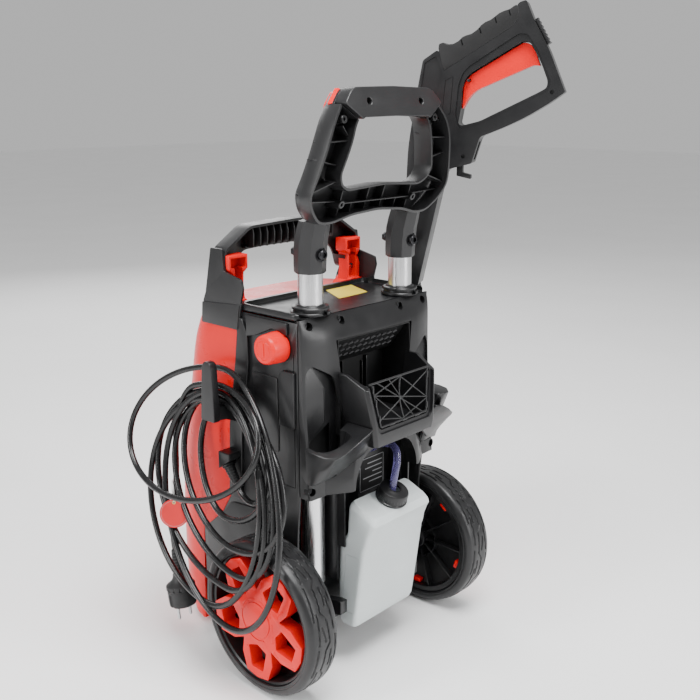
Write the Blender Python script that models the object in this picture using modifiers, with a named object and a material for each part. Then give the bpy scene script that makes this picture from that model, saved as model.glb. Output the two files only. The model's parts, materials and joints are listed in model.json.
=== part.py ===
"""Upright pressure washer on two wheels, in metres, +Z up.

Machine directions: the front is -Y, the rear with the bin and the bottle is +Y, and the
machine's left, with the switch and the mains lead, is +X.  Every piece is modelled with the
middle of the machine at x = 0, the wheel axle at y = 0 and the floor at z = 0, and hangs
from one empty that moves the whole machine so that its outline is centred on the origin.
"""
import math

import bmesh
import bpy
from mathutils import Matrix, Vector

# Driving dimensions
ORIGIN_SHIFT = Vector((0.0329, 0.0598, 0.0))
GAP = 0.0003
WALL = 0.003
BODY_HALF = 0.121
WHEEL_R = 0.100
WHEEL_OUT = 0.180
WHEEL_IN = 0.133
TYRE_BORE_R = 0.084
AXLE_R = 0.006
AXLE_Z = 0.100
TUBE_X = 0.0834
TUBE_Y = 0.0048
TUBE_R = 0.0153
TUBE_BOTTOM = 0.1185
TUBE_TOP = 0.572
SLEEVE_BOTTOM = 0.522
TOP_Z = 0.472
COVER_BOTTOM = 0.250
BIN_HALF = 0.071
BIN_REAR = 0.086
BIN_FLOOR = 0.322
MOTOR_Y = -0.110
KNOB_Y = -0.010
KNOB_Z = 0.436
GUN_FOOT = Vector((-0.145, -0.025, 0.0))
GUN_TURN = 26.0
CORD_R = 0.004
GLAND_FOOT = Vector((0.1345, -0.0965, 0.2672))
GLAND_AXIS = Vector((0.0, 0.574, -0.819)).normalized()
FRONT_Y = ((0.008, -0.240), (0.060, -0.253), (0.210, -0.252), (0.289, -0.238),
           (0.349, -0.226), (0.415, -0.212), (0.452, -0.195), (0.469, -0.180))
SEAM_Y = ((0.008, -0.175), (0.150, -0.169), (0.185, -0.129), (0.215, -0.110),
          (0.316, -0.105), (0.404, -0.090), (0.444, -0.085), (0.469, -0.0925))

RED = ((0.78, 0.03, 0.02), 0.42, 0.0)
BLACK = ((0.018, 0.018, 0.019), 0.5, 0.0)
DARK_GREY = ((0.045, 0.045, 0.05), 0.5, 0.0)
RUBBER = ((0.02, 0.02, 0.02), 0.75, 0.0)
ALUMINIUM = ((0.78, 0.78, 0.80), 0.3, 1.0)
STEEL = ((0.5, 0.5, 0.52), 0.35, 1.0)
BRASS = ((0.7, 0.5, 0.2), 0.35, 1.0)
COPPER = ((0.6, 0.28, 0.13), 0.4, 1.0)
MILKY = ((0.82, 0.86, 0.84), 0.35, 0.0)
CLEAR = ((0.7, 0.72, 0.8), 0.15, 0.0)
YELLOW = ((0.85, 0.72, 0.15), 0.5, 0.0)
LABEL = ((0.06, 0.06, 0.06), 0.4, 0.0)

for old in list(bpy.data.objects):
    bpy.data.objects.remove(old, do_unlink=True)
PARTS = bpy.data.collections.new("pressure_washer")
CUTTERS = bpy.data.collections.new("cutters")
bpy.context.scene.collection.children.link(PARTS)
bpy.context.scene.collection.children.link(CUTTERS)


def empty(name, location, parent=None, turn=(0, 0, 0)):
    frame = bpy.data.objects.new(name, None)
    frame.empty_display_size = 0.05
    PARTS.objects.link(frame)
    frame.location = location
    frame.rotation_euler = [math.radians(a) for a in turn]
    frame.parent = parent
    return frame


MACHINE = empty("machine", ORIGIN_SHIFT)


def paint(obj, look):
    color, rough, metal = look
    material = bpy.data.materials.new(obj.name)
    material.use_nodes = True
    shader = material.node_tree.nodes["Principled BSDF"]
    shader.inputs["Base Color"].default_value = (*color, 1.0)
    shader.inputs["Roughness"].default_value = rough
    shader.inputs["Metallic"].default_value = metal
    obj.data.materials.clear()
    obj.data.materials.append(material)


def from_bmesh(bm, name, look=None, parent=None, cutter=False):
    """A part, or a cutter, from a bmesh in its parent's frame."""
    bmesh.ops.recalc_face_normals(bm, faces=bm.faces)
    mesh = bpy.data.meshes.new(name)
    bm.to_mesh(mesh)
    bm.free()
    obj = bpy.data.objects.new(name, mesh)
    (CUTTERS if cutter else PARTS).objects.link(obj)
    obj.parent = parent or MACHINE
    if cutter:
        obj.hide_render = True
        obj.display_type = "WIRE"
    if look:
        paint(obj, look)
    return obj


def about(obj, point):
    """Moves an object's origin to a point on its joint's axis, and leaves its shape in place."""
    obj.data.transform(Matrix.Translation(-Vector(point)))
    obj.location = point
    return obj


AXES = {"x": (1, 2, 0), "y": (0, 2, 1), "z": (0, 1, 2)}


def solid_point(axis, u, v, w):
    point = [0.0, 0.0, 0.0]
    for index, value in zip(AXES[axis], (u, v, w)):
        point[index] = value
    return point


def prism_bm(outline, axis, low, high, holes=()):
    """A flat outline, in the two axes across `axis`, pushed from low to high along it."""
    bm = bmesh.new()
    edges = []
    for ring in (outline, *holes):
        verts = [bm.verts.new(solid_point(axis, u, v, low)) for u, v in ring]
        edges += [bm.edges.new((a, b)) for a, b in zip(verts, verts[1:] + verts[:1])]
    if holes:
        bmesh.ops.triangle_fill(bm, use_beauty=True, use_dissolve=False, edges=edges)
    else:
        bm.faces.new(bm.verts)
    grown = bmesh.ops.extrude_face_region(bm, geom=bm.faces[:])["geom"]
    moved = [g for g in grown if isinstance(g, bmesh.types.BMVert)]
    bmesh.ops.translate(bm, verts=moved, vec=solid_point(axis, 0, 0, high - low))
    return bm


def prism(name, outline, axis, low, high, look=None, parent=None, holes=(), cutter=False):
    bm = prism_bm(outline, axis, low, high, holes)
    return from_bmesh(bm, name, look, parent, cutter)


def box(name, low, high, look=None, parent=None, cutter=False):
    bm = bmesh.new()
    bmesh.ops.create_cube(bm, size=1.0)
    low, high = Vector(low), Vector(high)
    bmesh.ops.transform(bm, matrix=Matrix.Diagonal((high - low).to_4d()), verts=bm.verts)
    bmesh.ops.translate(bm, vec=(low + high) / 2, verts=bm.verts)
    return from_bmesh(bm, name, look, parent, cutter)


def rod(name, start, end, radius, look=None, parent=None, sides=24, end_radius=None, cutter=False):
    """A cylinder or cone between two points."""
    start, end = Vector(start), Vector(end)
    bm = bmesh.new()
    bmesh.ops.create_cone(bm, cap_ends=True, segments=sides, radius1=radius,
                          radius2=radius if end_radius is None else end_radius,
                          depth=(end - start).length)
    turn = (end - start).to_track_quat("Z", "Y").to_matrix().to_4x4()
    bmesh.ops.transform(bm, matrix=Matrix.Translation((start + end) / 2) @ turn, verts=bm.verts)
    return from_bmesh(bm, name, look, parent, cutter)


def signed_area(outline):
    pairs = zip(outline, outline[1:] + outline[:1])
    return sum(u0 * v1 - u1 * v0 for (u0, v0), (u1, v1) in pairs) / 2


def turned(name, profile, centre, look, parent=None, axis="x", steps=48):
    """A closed ring: a closed (radius, along) outline swept round an axis through centre."""
    if signed_area(profile) > 0:
        profile = profile[::-1]
    bm = bmesh.new()
    verts = [bm.verts.new((r, 0.0, a)) for r, a in profile]
    for a, b in zip(verts, verts[1:] + verts[:1]):
        bm.edges.new((a, b))
    mesh = bpy.data.meshes.new(name)
    bm.to_mesh(mesh)
    bm.free()
    obj = bpy.data.objects.new(name, mesh)
    PARTS.objects.link(obj)
    obj.parent = parent or MACHINE
    obj.location = centre
    obj.rotation_euler = {"x": (0, math.pi / 2, 0), "z": (0, 0, 0)}[axis]
    screw = obj.modifiers.new("turn", "SCREW")
    screw.steps = screw.render_steps = steps
    screw.use_merge_vertices = True
    screw.merge_threshold = 0.00005
    screw.use_normal_calculate = False
    paint(obj, look)
    return obj


def loft_bm(rings, closed=True, caps=True):
    """Faces between rings of points, with the same count in each."""
    bm = bmesh.new()
    rows = [[bm.verts.new(p) for p in ring] for ring in rings]
    count = len(rows[0])
    for lower, upper in zip(rows, rows[1:]):
        for i in range(count if closed else count - 1):
            j = (i + 1) % count
            bm.faces.new((lower[i], lower[j], upper[j], upper[i]))
    if caps:
        bm.faces.new(rows[0])
        bm.faces.new(rows[-1])
    return bm


def loft(name, rings, look=None, parent=None, cutter=False):
    return from_bmesh(loft_bm(rings), name, look, parent, cutter)


def boolean(obj, other, operation):
    change = obj.modifiers.new(other.name, "BOOLEAN")
    change.operation = operation
    change.solver = "EXACT"
    change.object = other
    return obj


def cut(obj, *cutters):
    for cutter in cutters:
        boolean(obj, cutter, "DIFFERENCE")
    return obj


def join(obj, *others):
    for other in others:
        boolean(obj, other, "UNION")
    return obj


def bevel(obj, width, segments=1, angle=35.0):
    rounded = obj.modifiers.new("edges", "BEVEL")
    rounded.width = width
    rounded.segments = segments
    rounded.limit_method = "ANGLE"
    rounded.angle_limit = math.radians(angle)
    rounded.use_clamp_overlap = True
    return obj


def at(table, z):
    """Reads a (z, value) table in straight lines between its entries."""
    if z <= table[0][0]:
        return table[0][1]
    for (z0, v0), (z1, v1) in zip(table, table[1:]):
        if z <= z1:
            return v0 + (v1 - v0) * (z - z0) / (z1 - z0)
    return table[-1][1]


def mirrored(half):
    """Completes an outline whose half runs on the +u side from the mid-line to the mid-line."""
    return half + [(-u, v) for u, v in reversed(half) if abs(u) > 1e-6]


# Body shells

def front_half(z):
    """Half of the front shell's plan at a height: from the mid-line out to the side seam."""
    y = at(FRONT_Y, z)
    steps = ((0.0, 0.0), (0.060, 0.002), (0.088, 0.009), (0.106, 0.024), (0.117, 0.045))
    return [(x, y + d) for x, d in steps] + [(BODY_HALF, min(y + 0.066, at(SEAM_Y, z) - 0.004)),
                                             (BODY_HALF, at(SEAM_Y, z))]


def front_shell():
    levels = sorted({z for z, _ in FRONT_Y} | {z for z, _ in SEAM_Y})
    rings = []
    for z in levels:
        half = front_half(z)
        whole = [(-x, y) for x, y in reversed(half[1:])] + half
        rings.append([(x, y, z) for x, y in whole])
    bm = loft_bm(rings, closed=False, caps=False)
    bm.verts.ensure_lookup_table()
    count = len(rings[0])
    bm.faces.new(bm.verts[-count:])
    bm.faces.new(list(reversed(bm.verts[:count])))
    shell = from_bmesh(bm, "front_shell", RED)
    thick = shell.modifiers.new("wall", "SOLIDIFY")
    thick.thickness = WALL
    thick.offset = -1.0
    thick.use_even_offset = True
    panel = box("front_panel_window", (-0.062, -0.300, 0.030), (0.062, -0.230, 0.190), cutter=True)
    return join(cut(shell, panel), handle_post(1), handle_post(-1))


def front_panel():
    """The grey lower front panel that carries the two water connections."""
    outline = [(-0.0615, 0.0305), (0.0615, 0.0305), (0.0615, 0.1895), (-0.0615, 0.1895)]
    panel = prism("front_panel", outline, "y", -0.256, -0.250, DARK_GREY)
    for x, radius in ((-0.030, 0.0172), (0.030, 0.0152)):
        cut(panel, rod(f"front_panel_hole_{x}", (x, -0.270, 0.115), (x, -0.240, 0.115), radius,
                       cutter=True))
    return panel


def side_outline():
    """The side shells' outline in (y, z): the front follows the seam."""
    front = [(at(SEAM_Y, z) + 0.0006, z) for z in (0.444, 0.404, 0.316, 0.215, 0.185, 0.150)]
    low = [(-0.168, 0.070), (-0.150, 0.045), (0.010, 0.045), (0.016, 0.200), (0.020, 0.245)]
    return [(-0.0915, 0.468)] + front + low + [(0.0200, 0.300), (0.0200, 0.468)]


def side_shell(side, name):
    """A flat side wall with a raised band along the seam and a lower skirt."""
    low, high = sorted((side * (BODY_HALF - WALL), side * BODY_HALF))
    shell = prism(name, side_outline(), "x", low, high, BLACK)
    band = [(at(SEAM_Y, z) + 0.004, z) for z in (0.440, 0.404, 0.316, 0.215)]
    back = [(y + 0.020, z) for y, z in reversed(band)]
    inner, outer = sorted((side * (BODY_HALF - 0.001), side * (BODY_HALF + 0.003)))
    return join(shell, prism(name + "_band", band + back, "x", inner, outer, cutter=True))


def axle_hole(side):
    return rod(f"axle_hole_{side}", (side * 0.10, 0, AXLE_Z), (side * 0.13, 0, AXLE_Z),
               AXLE_R + 0.001, cutter=True)


def left_shell():
    shell = side_shell(1, "left_side_shell")
    out = BODY_HALF + 0.004
    panel = [(-0.047, 0.467), (0.004, 0.467), (0.004, 0.457), (-0.010, 0.460), (-0.050, 0.446)]
    join(shell, prism("switch_hood", panel, "x", BODY_HALF - 0.001, out, cutter=True))
    block = [(-0.008, 0.345), (0.017, 0.345), (0.017, 0.408), (-0.004, 0.408)]
    join(shell, prism("side_block", block, "x", BODY_HALF - 0.001, out, cutter=True))
    cut(shell, axle_hole(1))
    cut(shell, rod("knob_hole", (0.10, KNOB_Y, KNOB_Z), (0.14, KNOB_Y, KNOB_Z), 0.0085, cutter=True))
    hood = [(-0.1050, 0.2850), (-0.0840, 0.2850), (-0.0840, 0.2760), (-0.1050, 0.2613)]
    join(shell, prism("gland_hood", hood, "x", BODY_HALF - 0.001, 0.1440, cutter=True))
    return cut(shell, rod("gland_bore", GLAND_FOOT - GLAND_AXIS * 0.009, GLAND_FOOT + GLAND_AXIS * 0.01,
                          0.0078, cutter=True))


def base_tray():
    """The floor pan: it carries the motor and pump, the axle and the bottle's two lugs."""
    half = BODY_HALF - WALL - GAP
    outline = [(-0.165, 0.049), (-0.165, 0.094), (-0.161, 0.094), (-0.161, 0.055), (-0.040, 0.055),
               (-0.030, 0.085), (-0.012, 0.118), (0.008, 0.118), (0.008, 0.049)]
    tray = prism("base_tray", outline, "x", -half, half, BLACK)
    for side in (1, -1):
        low, high = sorted((side * 0.066, side * 0.078))
        lug = [(0.006, 0.070), (0.048, 0.082), (0.048, 0.100), (0.040, 0.100), (0.006, 0.092)]
        join(tray, prism(f"bottle_lug_{side}", lug, "x", low, high, cutter=True))
    bore = rod("axle_bore", (-0.2, 0, AXLE_Z), (0.2, 0, AXLE_Z), AXLE_R + GAP, cutter=True)
    return cut(tray, bore)


def chassis_back():
    """The inner back wall between the two handle tubes, below the rear cover."""
    outline = [(-0.058, 0.121), (0.058, 0.121), (0.064, 0.200), (0.064, 0.300), (-0.064, 0.300),
               (-0.064, 0.200)]
    wall = prism("chassis_back", outline, "y", 0.004, 0.008, BLACK)
    rib = [(0.060, 0.121), (0.0655, 0.121), (0.0655, 0.249), (0.060, 0.249)]
    for side in (1, -1):
        flank = [(side * u, v) for u, v in rib]
        join(wall, prism(f"back_rib_{side}", flank, "y", 0.004, 0.030, cutter=True))
    return cut(wall, rod("hose_hole", (0, -0.01, 0.275), (0, 0.02, 0.275), 0.0075, cutter=True))


def front_foot():
    """The foot that the machine stands on in front, with a flat sole."""
    outline = mirrored([(0.0, -0.236), (0.080, -0.228), (0.104, -0.208), (0.104, -0.185),
                        (0.0, -0.185)])
    foot = prism("front_foot", outline, "z", 0.0, 0.0077, RUBBER)
    return bevel(foot, 0.001)


def top_cover():
    """The lid round the handle tubes, with a raised rim and a sunken middle."""
    outline = mirrored([(0.0, -0.0915), (0.110, -0.0915), (0.1205, -0.082), (0.1205, 0.014),
                        (0.112, 0.021), (0.0, 0.021)])
    lid = prism("top_cover", outline, "z", TOP_Z - 0.003, TOP_Z + 0.006, BLACK)
    sunk = mirrored([(0.0, -0.080), (0.106, -0.080), (0.113, -0.072), (0.113, 0.010), (0.0, 0.016)])
    cut(lid, prism("lid_hollow", sunk, "z", TOP_Z, TOP_Z + 0.02, cutter=True))
    for side in (1, -1):
        at_x = side * TUBE_X
        cut(lid, rod(f"lid_tube_hole_{side}", (at_x, TUBE_Y, 0.4), (at_x, TUBE_Y, 0.5), 0.0165,
                     cutter=True))
        cut(lid, rod(f"lid_collar_seat_{side}", (at_x, TUBE_Y, TOP_Z - 0.0002), (at_x, TUBE_Y, 0.5),
                     0.0250, cutter=True))
    return lid


def tube_collar(side, name):
    """A flanged ring that guides a handle tube through the lid."""
    profile = [(TUBE_R + 0.0004, TOP_Z + 0.0005), (0.0235, TOP_Z + 0.0005), (0.0245, TOP_Z + 0.003),
               (0.0235, TOP_Z + 0.0065), (0.0185, TOP_Z + 0.0125), (TUBE_R + 0.0004, TOP_Z + 0.0125)]
    return turned(name, profile, (side * TUBE_X, TUBE_Y, 0), BLACK, axis="z", steps=24)


def cover_skin():
    rings = []
    for z, y_mid, y_corner in ((COVER_BOTTOM, 0.044, 0.038), (0.310, 0.042, 0.033),
                               (0.353, 0.040, 0.029), (0.402, 0.038, 0.026), (0.450, 0.036, 0.0255),
                               (0.464, 0.034, 0.0250), (0.4715, 0.028, 0.0245)):
        outer = [(BODY_HALF, 0.0212), (BODY_HALF - 0.003, y_corner), (0.085, y_mid - 0.002),
                 (0.0, y_mid)]
        inner = [(0.0, y_mid - WALL), (0.084, y_mid - 0.002 - WALL),
                 (BODY_HALF - 0.006, max(0.0213, y_corner - WALL)), (BODY_HALF - WALL, 0.0212)]
        ring = ([(x, y) for x, y in outer] + [(-x, y) for x, y in outer[-2::-1]]
                + [(-x, y) for x, y in inner[:0:-1]] + inner)
        rings.append([(x, y, z) for x, y in ring])
    return loft("rear_cover", rings, BLACK)


def wing_rim(side):
    """The plan of one lance pocket at its rim."""
    return [(side * x, y) for x, y in ((0.121, 0.030), (0.121, 0.052), (0.109, 0.072),
                                       (0.093, 0.083), (0.072, 0.092), (0.062, 0.086), (0.062, 0.030))]


def wing(side):
    """A pocket that tapers down to the cover's lower edge, as a solid to be hollowed."""
    top = wing_rim(side)
    low = [(side * x, y) for x, y in ((0.121, 0.030), (0.121, 0.037), (0.117, 0.041), (0.103, 0.043),
                                      (0.080, 0.046), (0.066, 0.046), (0.066, 0.030))]
    lift = (0.320, 0.320, 0.321, 0.326, 0.336, 0.336, 0.336)
    return loft(f"wing_{side}", [[(x, y, COVER_BOTTOM) for x, y in low],
                                 [(x, y, z) for (x, y), z in zip(top, lift)]], cutter=True)


def wing_hollow(side):
    top = [(side * x, y) for x, y in ((0.1165, 0.012), (0.1165, 0.050), (0.106, 0.067),
                                      (0.091, 0.077), (0.078, 0.081), (0.0745, 0.075),
                                      (0.0745, 0.012))]
    low = [(side * x, y) for x, y in ((0.1165, 0.012), (0.1165, 0.040), (0.108, 0.044),
                                      (0.096, 0.046), (0.085, 0.047), (0.078, 0.045),
                                      (0.078, 0.012))]
    rings = [[(x, y, 0.2701) for x, y in low], [(x, y, 0.3401) for x, y in top]]
    return loft(f"wing_hollow_{side}", rings, cutter=True)


def bin_shape(grow, low, high, name):
    """The tray's plan, wider at the back wall than at its mouth, grown or shrunk by `grow`."""
    half, rear = BIN_HALF + grow, BIN_REAR + grow
    def ring(z, lean):
        return [(x, y, z) for x, y in ((half, 0.030), (half, 0.062 + grow), (half - 0.012, rear - lean),
                                       (-half + 0.012, rear - lean), (-half, 0.062 + grow),
                                       (-half, 0.030))]
    return loft(name, [ring(low, 0.0), ring(high, 0.010)], cutter=True)


def bin_hollow():
    """The bin's inside, carried on up into the recess above it."""
    rings = []
    for z, rear in ((BIN_FLOOR + 0.0001, 0.0820), (0.4365, 0.0687)):
        plan = mirrored([(0.0, 0.0001), (0.0605, 0.0001), (0.0605, 0.060), (0.050, rear), (0.0, rear)])
        rings.append([(x, y, z) for x, y in plan])
    return loft("bin_hollow", rings, cutter=True)


def rear_cover():
    cover = cover_skin()
    join(cover, wing(1), wing(-1), bin_shape(0.0, 0.312, 0.398, "bin_block"))
    mouth = [(0.030, 0.404), (0.060, 0.412), (0.110, 0.412), (0.110, 0.380), (0.075, 0.392)]
    cut(cover, prism("bin_mouth", mouth, "x", -0.09, 0.09, cutter=True))
    cut(cover, bin_hollow())
    window = mirrored([(0.0, 0.326), (0.0525, 0.330), (0.0515, 0.3885), (0.048, 0.420), (0.0, 0.420)])
    cut(cover, prism("grille_window", window, "y", 0.070, 0.12, cutter=True))
    recess = mirrored([(0.0, 0.322), (0.064, 0.322), (0.068, 0.402), (0.072, 0.436), (0.0, 0.438)])
    cut(cover, prism("recess_window", recess, "y", 0.0, 0.046, cutter=True))
    cut(cover, wing_hollow(1), wing_hollow(-1))
    arch = mirrored([(0.0, 0.298), (0.034, 0.298), (0.062, 0.272), (0.0745, COVER_BOTTOM - 0.01),
                     (0.0, COVER_BOTTOM - 0.01)])
    cut(cover, prism("arch", arch, "y", 0.0, 0.12, cutter=True))
    for x, y in ((0.0552, 0.034), (0.1084, 0.0246)):
        for side in (1, -1):
            cut(cover, rod(f"screw_recess_{side * x}", (side * x, y - 0.0008, 0.4645),
                           (side * x, 0.06, 0.4645), 0.0046, cutter=True, sides=16))
    return cover


def recess_lining():
    """The dark inner wall of the recess over the bin: it slopes in under the top edge."""
    outline = [(0.0310, 0.4375), (0.0310, 0.4345), (0.0060, 0.404), (-0.0100, 0.396),
               (-0.0100, BIN_FLOOR), (-0.0130, BIN_FLOOR), (-0.0130, 0.3985), (0.0040, 0.407),
               (0.0280, 0.4375)]
    return prism("recess_lining", outline, "x", -0.0605, 0.0605, BLACK)


def bin_grille():
    """The lattice in the bin's rear window: a frame, an upright and crossing diagonals."""
    half, low, high = 0.0505, 0.3325, 0.3905
    outline = [(-half, low), (half, low), (half - 0.001, high), (-half + 0.001, high)]
    inner = [(-half + 0.004, low + 0.004), (half - 0.004, low + 0.004), (half - 0.005, high - 0.004),
             (-half + 0.005, high - 0.004)]
    frame = prism("bin_grille", outline, "y", 0.0768, 0.0808, BLACK, holes=[inner])
    mid = (low + high) / 2
    bars = [((0, low), (0, high))]
    for s in (1, -1):
        bars += [((s * -half, low + 0.012), (s * half, high - 0.012)),
                 ((0, high), (s * half, mid)), ((0, low), (s * half, mid)),
                 ((s * half * 0.55, high), (s * half, low + 0.012))]
    for i, (a, b) in enumerate(bars):
        a, b = Vector(a), Vector(b)
        along = (b - a).normalized()
        across = Vector((-along.y, along.x)) * (0.0011 + 0.00002 * i)
        a, b = a + along * 0.0016, b - along * 0.0016
        outline = [tuple(p) for p in (a + across, a - across, b - across, b + across)]
        step = 0.00007 * (i + 1)
        join(frame, prism(f"grille_bar_{i}", outline, "y", 0.0771 + step, 0.0805 - step, cutter=True))
    return frame


def carry_handle():
    """The arch over the front, with a side plate that reaches down the shell on each side."""
    outer = [(0.1252, 0.4460), (0.1252, 0.5000), (0.1225, 0.5430), (0.0790, 0.5670), (0.0, 0.5695)]
    inner = [(0.0, 0.5370), (0.0740, 0.5340), (0.0930, 0.5140), (0.0980, 0.4840), (0.1214, 0.4840),
             (0.1214, 0.4460)]
    outline = outer + [(-x, z) for x, z in outer[-2::-1]] + [(-x, z) for x, z in inner[:0:-1]] + inner
    handle = prism("carry_handle", outline, "y", -0.1290, -0.1050, DARK_GREY)
    plate = [(-0.1495, 0.4460), (-0.1466, 0.4760), (-0.1417, 0.4870), (-0.1290, 0.5390),
             (-0.1060, 0.5390), (-0.1040, 0.5150), (-0.0720, 0.5080), (-0.0700, 0.4970),
             (-0.0750, 0.4790), (-0.0810, 0.4460)]
    for side in (1, -1):
        low, high = sorted((side * 0.1214, side * 0.1252))
        join(handle, prism(f"carry_plate_{side}", plate, "x", low, high, cutter=True))
    return handle


def handle_post(side):
    """The front shell's post that the carry handle is screwed to."""
    low, high = sorted((side * 0.1005, side * 0.1208))
    outline = [(-0.1045, 0.4670), (-0.0950, 0.4670), (-0.0950, 0.4900), (-0.0880, 0.4920),
               (-0.0880, 0.5060), (-0.1045, 0.5060)]
    return prism(f"handle_post_{side}", outline, "x", low, high, cutter=True)


# Transport handle

def loop_outer():
    return mirrored([(0.0, 0.588), (0.045, 0.584), (0.098, 0.583), (0.117, 0.598), (0.125, 0.615),
                     (0.123, 0.642), (0.109, 0.683), (0.087, 0.716), (0.070, 0.733), (0.0, 0.735)])


def loop_inner():
    return mirrored([(0.0, 0.628), (0.064, 0.621), (0.076, 0.629), (0.082, 0.645), (0.078, 0.670),
                     (0.068, 0.688), (0.057, 0.700), (0.0, 0.702)])


def lean(z):
    """How far back the handle loop's mid-plane sits at a height."""
    return at(((0.583, 0.020), (0.600, 0.027), (0.642, 0.041), (0.690, 0.049), (0.735, 0.040)), z)


def handle_frame(body):
    bm = prism_bm(loop_outer(), "y", -0.0145, 0.0145, [loop_inner()])
    for vert in bm.verts:
        vert.co.y += lean(vert.co.z)
    frame = from_bmesh(bm, "handle_frame", DARK_GREY, body)
    for side in (1, -1):
        x = side * TUBE_X
        levels = ((SLEEVE_BOTTOM, 0.0185, 0.0185), (0.545, 0.0195, 0.0200), (0.575, 0.0205, 0.0220),
                  (0.600, 0.0215, 0.0260))
        rings = []
        for z, rx, ry in levels:
            turns = [math.radians(22.5 * k + 11.25) for k in range(16)]
            shift = 0.010 if z > 0.59 else 0.0
            rings.append([(x + rx * math.cos(t), TUBE_Y + shift + ry * math.sin(t), z) for t in turns])
        join(frame, loft(f"sleeve_{side}", rings, parent=body, cutter=True))
        cut(frame, rod(f"sleeve_bore_{side}", (x, TUBE_Y, 0.50), (x, TUBE_Y, TUBE_TOP + GAP),
                       TUBE_R + GAP, parent=body, cutter=True, sides=32))
        cut(frame, rod(f"bolt_hole_{side}", (x, -0.04, 0.545), (x, 0.06, 0.545), 0.0033, parent=body,
                       cutter=True, sides=12))
    return frame


def handle_tube(side, name, body):
    x = side * TUBE_X
    tube = rod(name, (x, TUBE_Y, TUBE_BOTTOM), (x, TUBE_Y, TUBE_TOP), TUBE_R, ALUMINIUM, body, 24)
    cut(tube, rod(name + "_bore", (x, TUBE_Y, 0.05), (x, TUBE_Y, 0.60), TUBE_R - 0.0015, parent=body,
                  cutter=True, sides=24))
    return cut(tube, rod(name + "_bolt_hole", (x, -0.04, 0.545), (x, 0.04, 0.545), 0.0033,
                         parent=body, cutter=True, sides=12))


def sleeve_bolt(side, name, body):
    x = side * TUBE_X
    bolt = rod(name, (x, -0.0195, 0.545), (x, 0.0290, 0.545), 0.0030, STEEL, body, 12)
    for y0, y1, label in ((-0.0225, -0.0155, "nut"), (0.0250, 0.0290, "head")):
        join(bolt, rod(f"{name}_{label}", (x, y0, 0.545), (x, y1, 0.545), 0.0058, parent=body,
                       cutter=True, sides=16))
    return bolt


def grip_cover(body):
    """The smooth rear half of the top bar."""
    outline = mirrored([(0.0, 0.7045), (0.056, 0.7030), (0.070, 0.690), (0.082, 0.700), (0.084, 0.716),
                        (0.069, 0.7325), (0.0, 0.7345)])
    bm = prism_bm(outline, "y", 0.0149, 0.0215)
    for vert in bm.verts:
        vert.co.y += lean(vert.co.z)
    cover = from_bmesh(bm, "grip_cover", DARK_GREY, body)
    for side in (1, -1):
        x = side * 0.046
        cut(cover, rod(f"grip_screw_hole_{side}", (x, 0.062, 0.719), (x, 0.09, 0.719), 0.0035,
                       parent=body, cutter=True, sides=12))
    return cover


# Wheels

def tyre(side, name, body):
    half = (WHEEL_OUT - WHEEL_IN) / 2
    profile = [(TYRE_BORE_R, -half + 0.004), (TYRE_BORE_R + 0.004, -half), (0.094, -half),
               (0.0985, -half + 0.006), (WHEEL_R, -half + 0.013), (WHEEL_R, half - 0.013),
               (0.0985, half - 0.006), (0.094, half), (TYRE_BORE_R + 0.004, half),
               (TYRE_BORE_R, half - 0.004)]
    centre = (side * (WHEEL_OUT + WHEEL_IN) / 2, 0, AXLE_Z)
    return turned(name, profile, centre, RUBBER, body, "x", 40)


def rim(side, name, body):
    """A dished rim: a rim ring, a web and a long hub on the axle."""
    bore, out = AXLE_R + GAP, TYRE_BORE_R - GAP
    profile = [(bore, 0.1335), (0.015, 0.1335), (0.015, 0.1480), (0.076, 0.1480), (0.076, 0.1365),
               (out, 0.1365), (out, 0.1765), (0.0815, 0.1765), (0.078, 0.1520), (0.015, 0.1520),
               (0.015, 0.1585), (bore, 0.1585)]
    profile = [(r, side * x) for r, x in profile]
    return turned(name, profile, (0, 0, AXLE_Z), BLACK, body, "x", 30)


def star_outline():
    """Five kite-shaped spokes round a hub, in (y, z) about the axle."""
    points = []
    for k in range(5):
        mid = -91.0 + 72.0 * k
        for turn, radius in ((-36.0, 0.045), (-27.0, 0.060), (-13.0, 0.0765), (0.0, 0.0775),
                             (13.0, 0.0765), (27.0, 0.060)):
            a = math.radians(mid + turn)
            points.append((radius * math.cos(a), radius * math.sin(a)))
    return points


def star_hole(k):
    mid = -91.0 + 72.0 * k
    hole = []
    for turn, radius in ((-22.0, 0.044), (-8.0, 0.069), (8.0, 0.069), (22.0, 0.044), (0.0, 0.036)):
        a = math.radians(mid + turn)
        hole.append((radius * math.cos(a), radius * math.sin(a)))
    return hole


def wheel_cover(side, name, body):
    """The red star that is clipped into the rim's outer side."""
    low, high = sorted((side * 0.1590, side * 0.1775))
    outline = [(y, z + AXLE_Z) for y, z in star_outline()]
    holes = [[(y, z + AXLE_Z) for y, z in star_hole(k)] for k in range(5)]
    star = prism(name, outline, "x", low, high, RED, body, holes)
    face = side * 0.1800
    join(star, rod(name + "_boss", (side * 0.170, 0, AXLE_Z), (face, 0, AXLE_Z), 0.029, parent=body,
                   cutter=True, sides=30))
    return star


# Spray gun: built upright with its profile in (x, z), then turned about its barrel

def gun_outline():
    return [(-0.010, 0.474), (0.013, 0.474), (0.038, 0.593), (0.046, 0.630), (0.081, 0.639),
            (0.091, 0.673), (0.149, 0.698), (0.180, 0.717), (0.196, 0.729), (0.174, 0.780),
            (0.153, 0.817), (0.143, 0.839), (0.133, 0.836), (0.130, 0.827), (0.046, 0.775),
            (0.032, 0.781), (0.014, 0.769), (0.008, 0.736), (0.000, 0.686), (-0.004, 0.656)]


def gun_window():
    return [(0.062, 0.690), (0.065, 0.707), (0.066, 0.733), (0.070, 0.746), (0.078, 0.754),
            (0.141, 0.791), (0.150, 0.789), (0.158, 0.778), (0.167, 0.759), (0.174, 0.742),
            (0.173, 0.734), (0.162, 0.728), (0.090, 0.693), (0.066, 0.687)]


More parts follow.
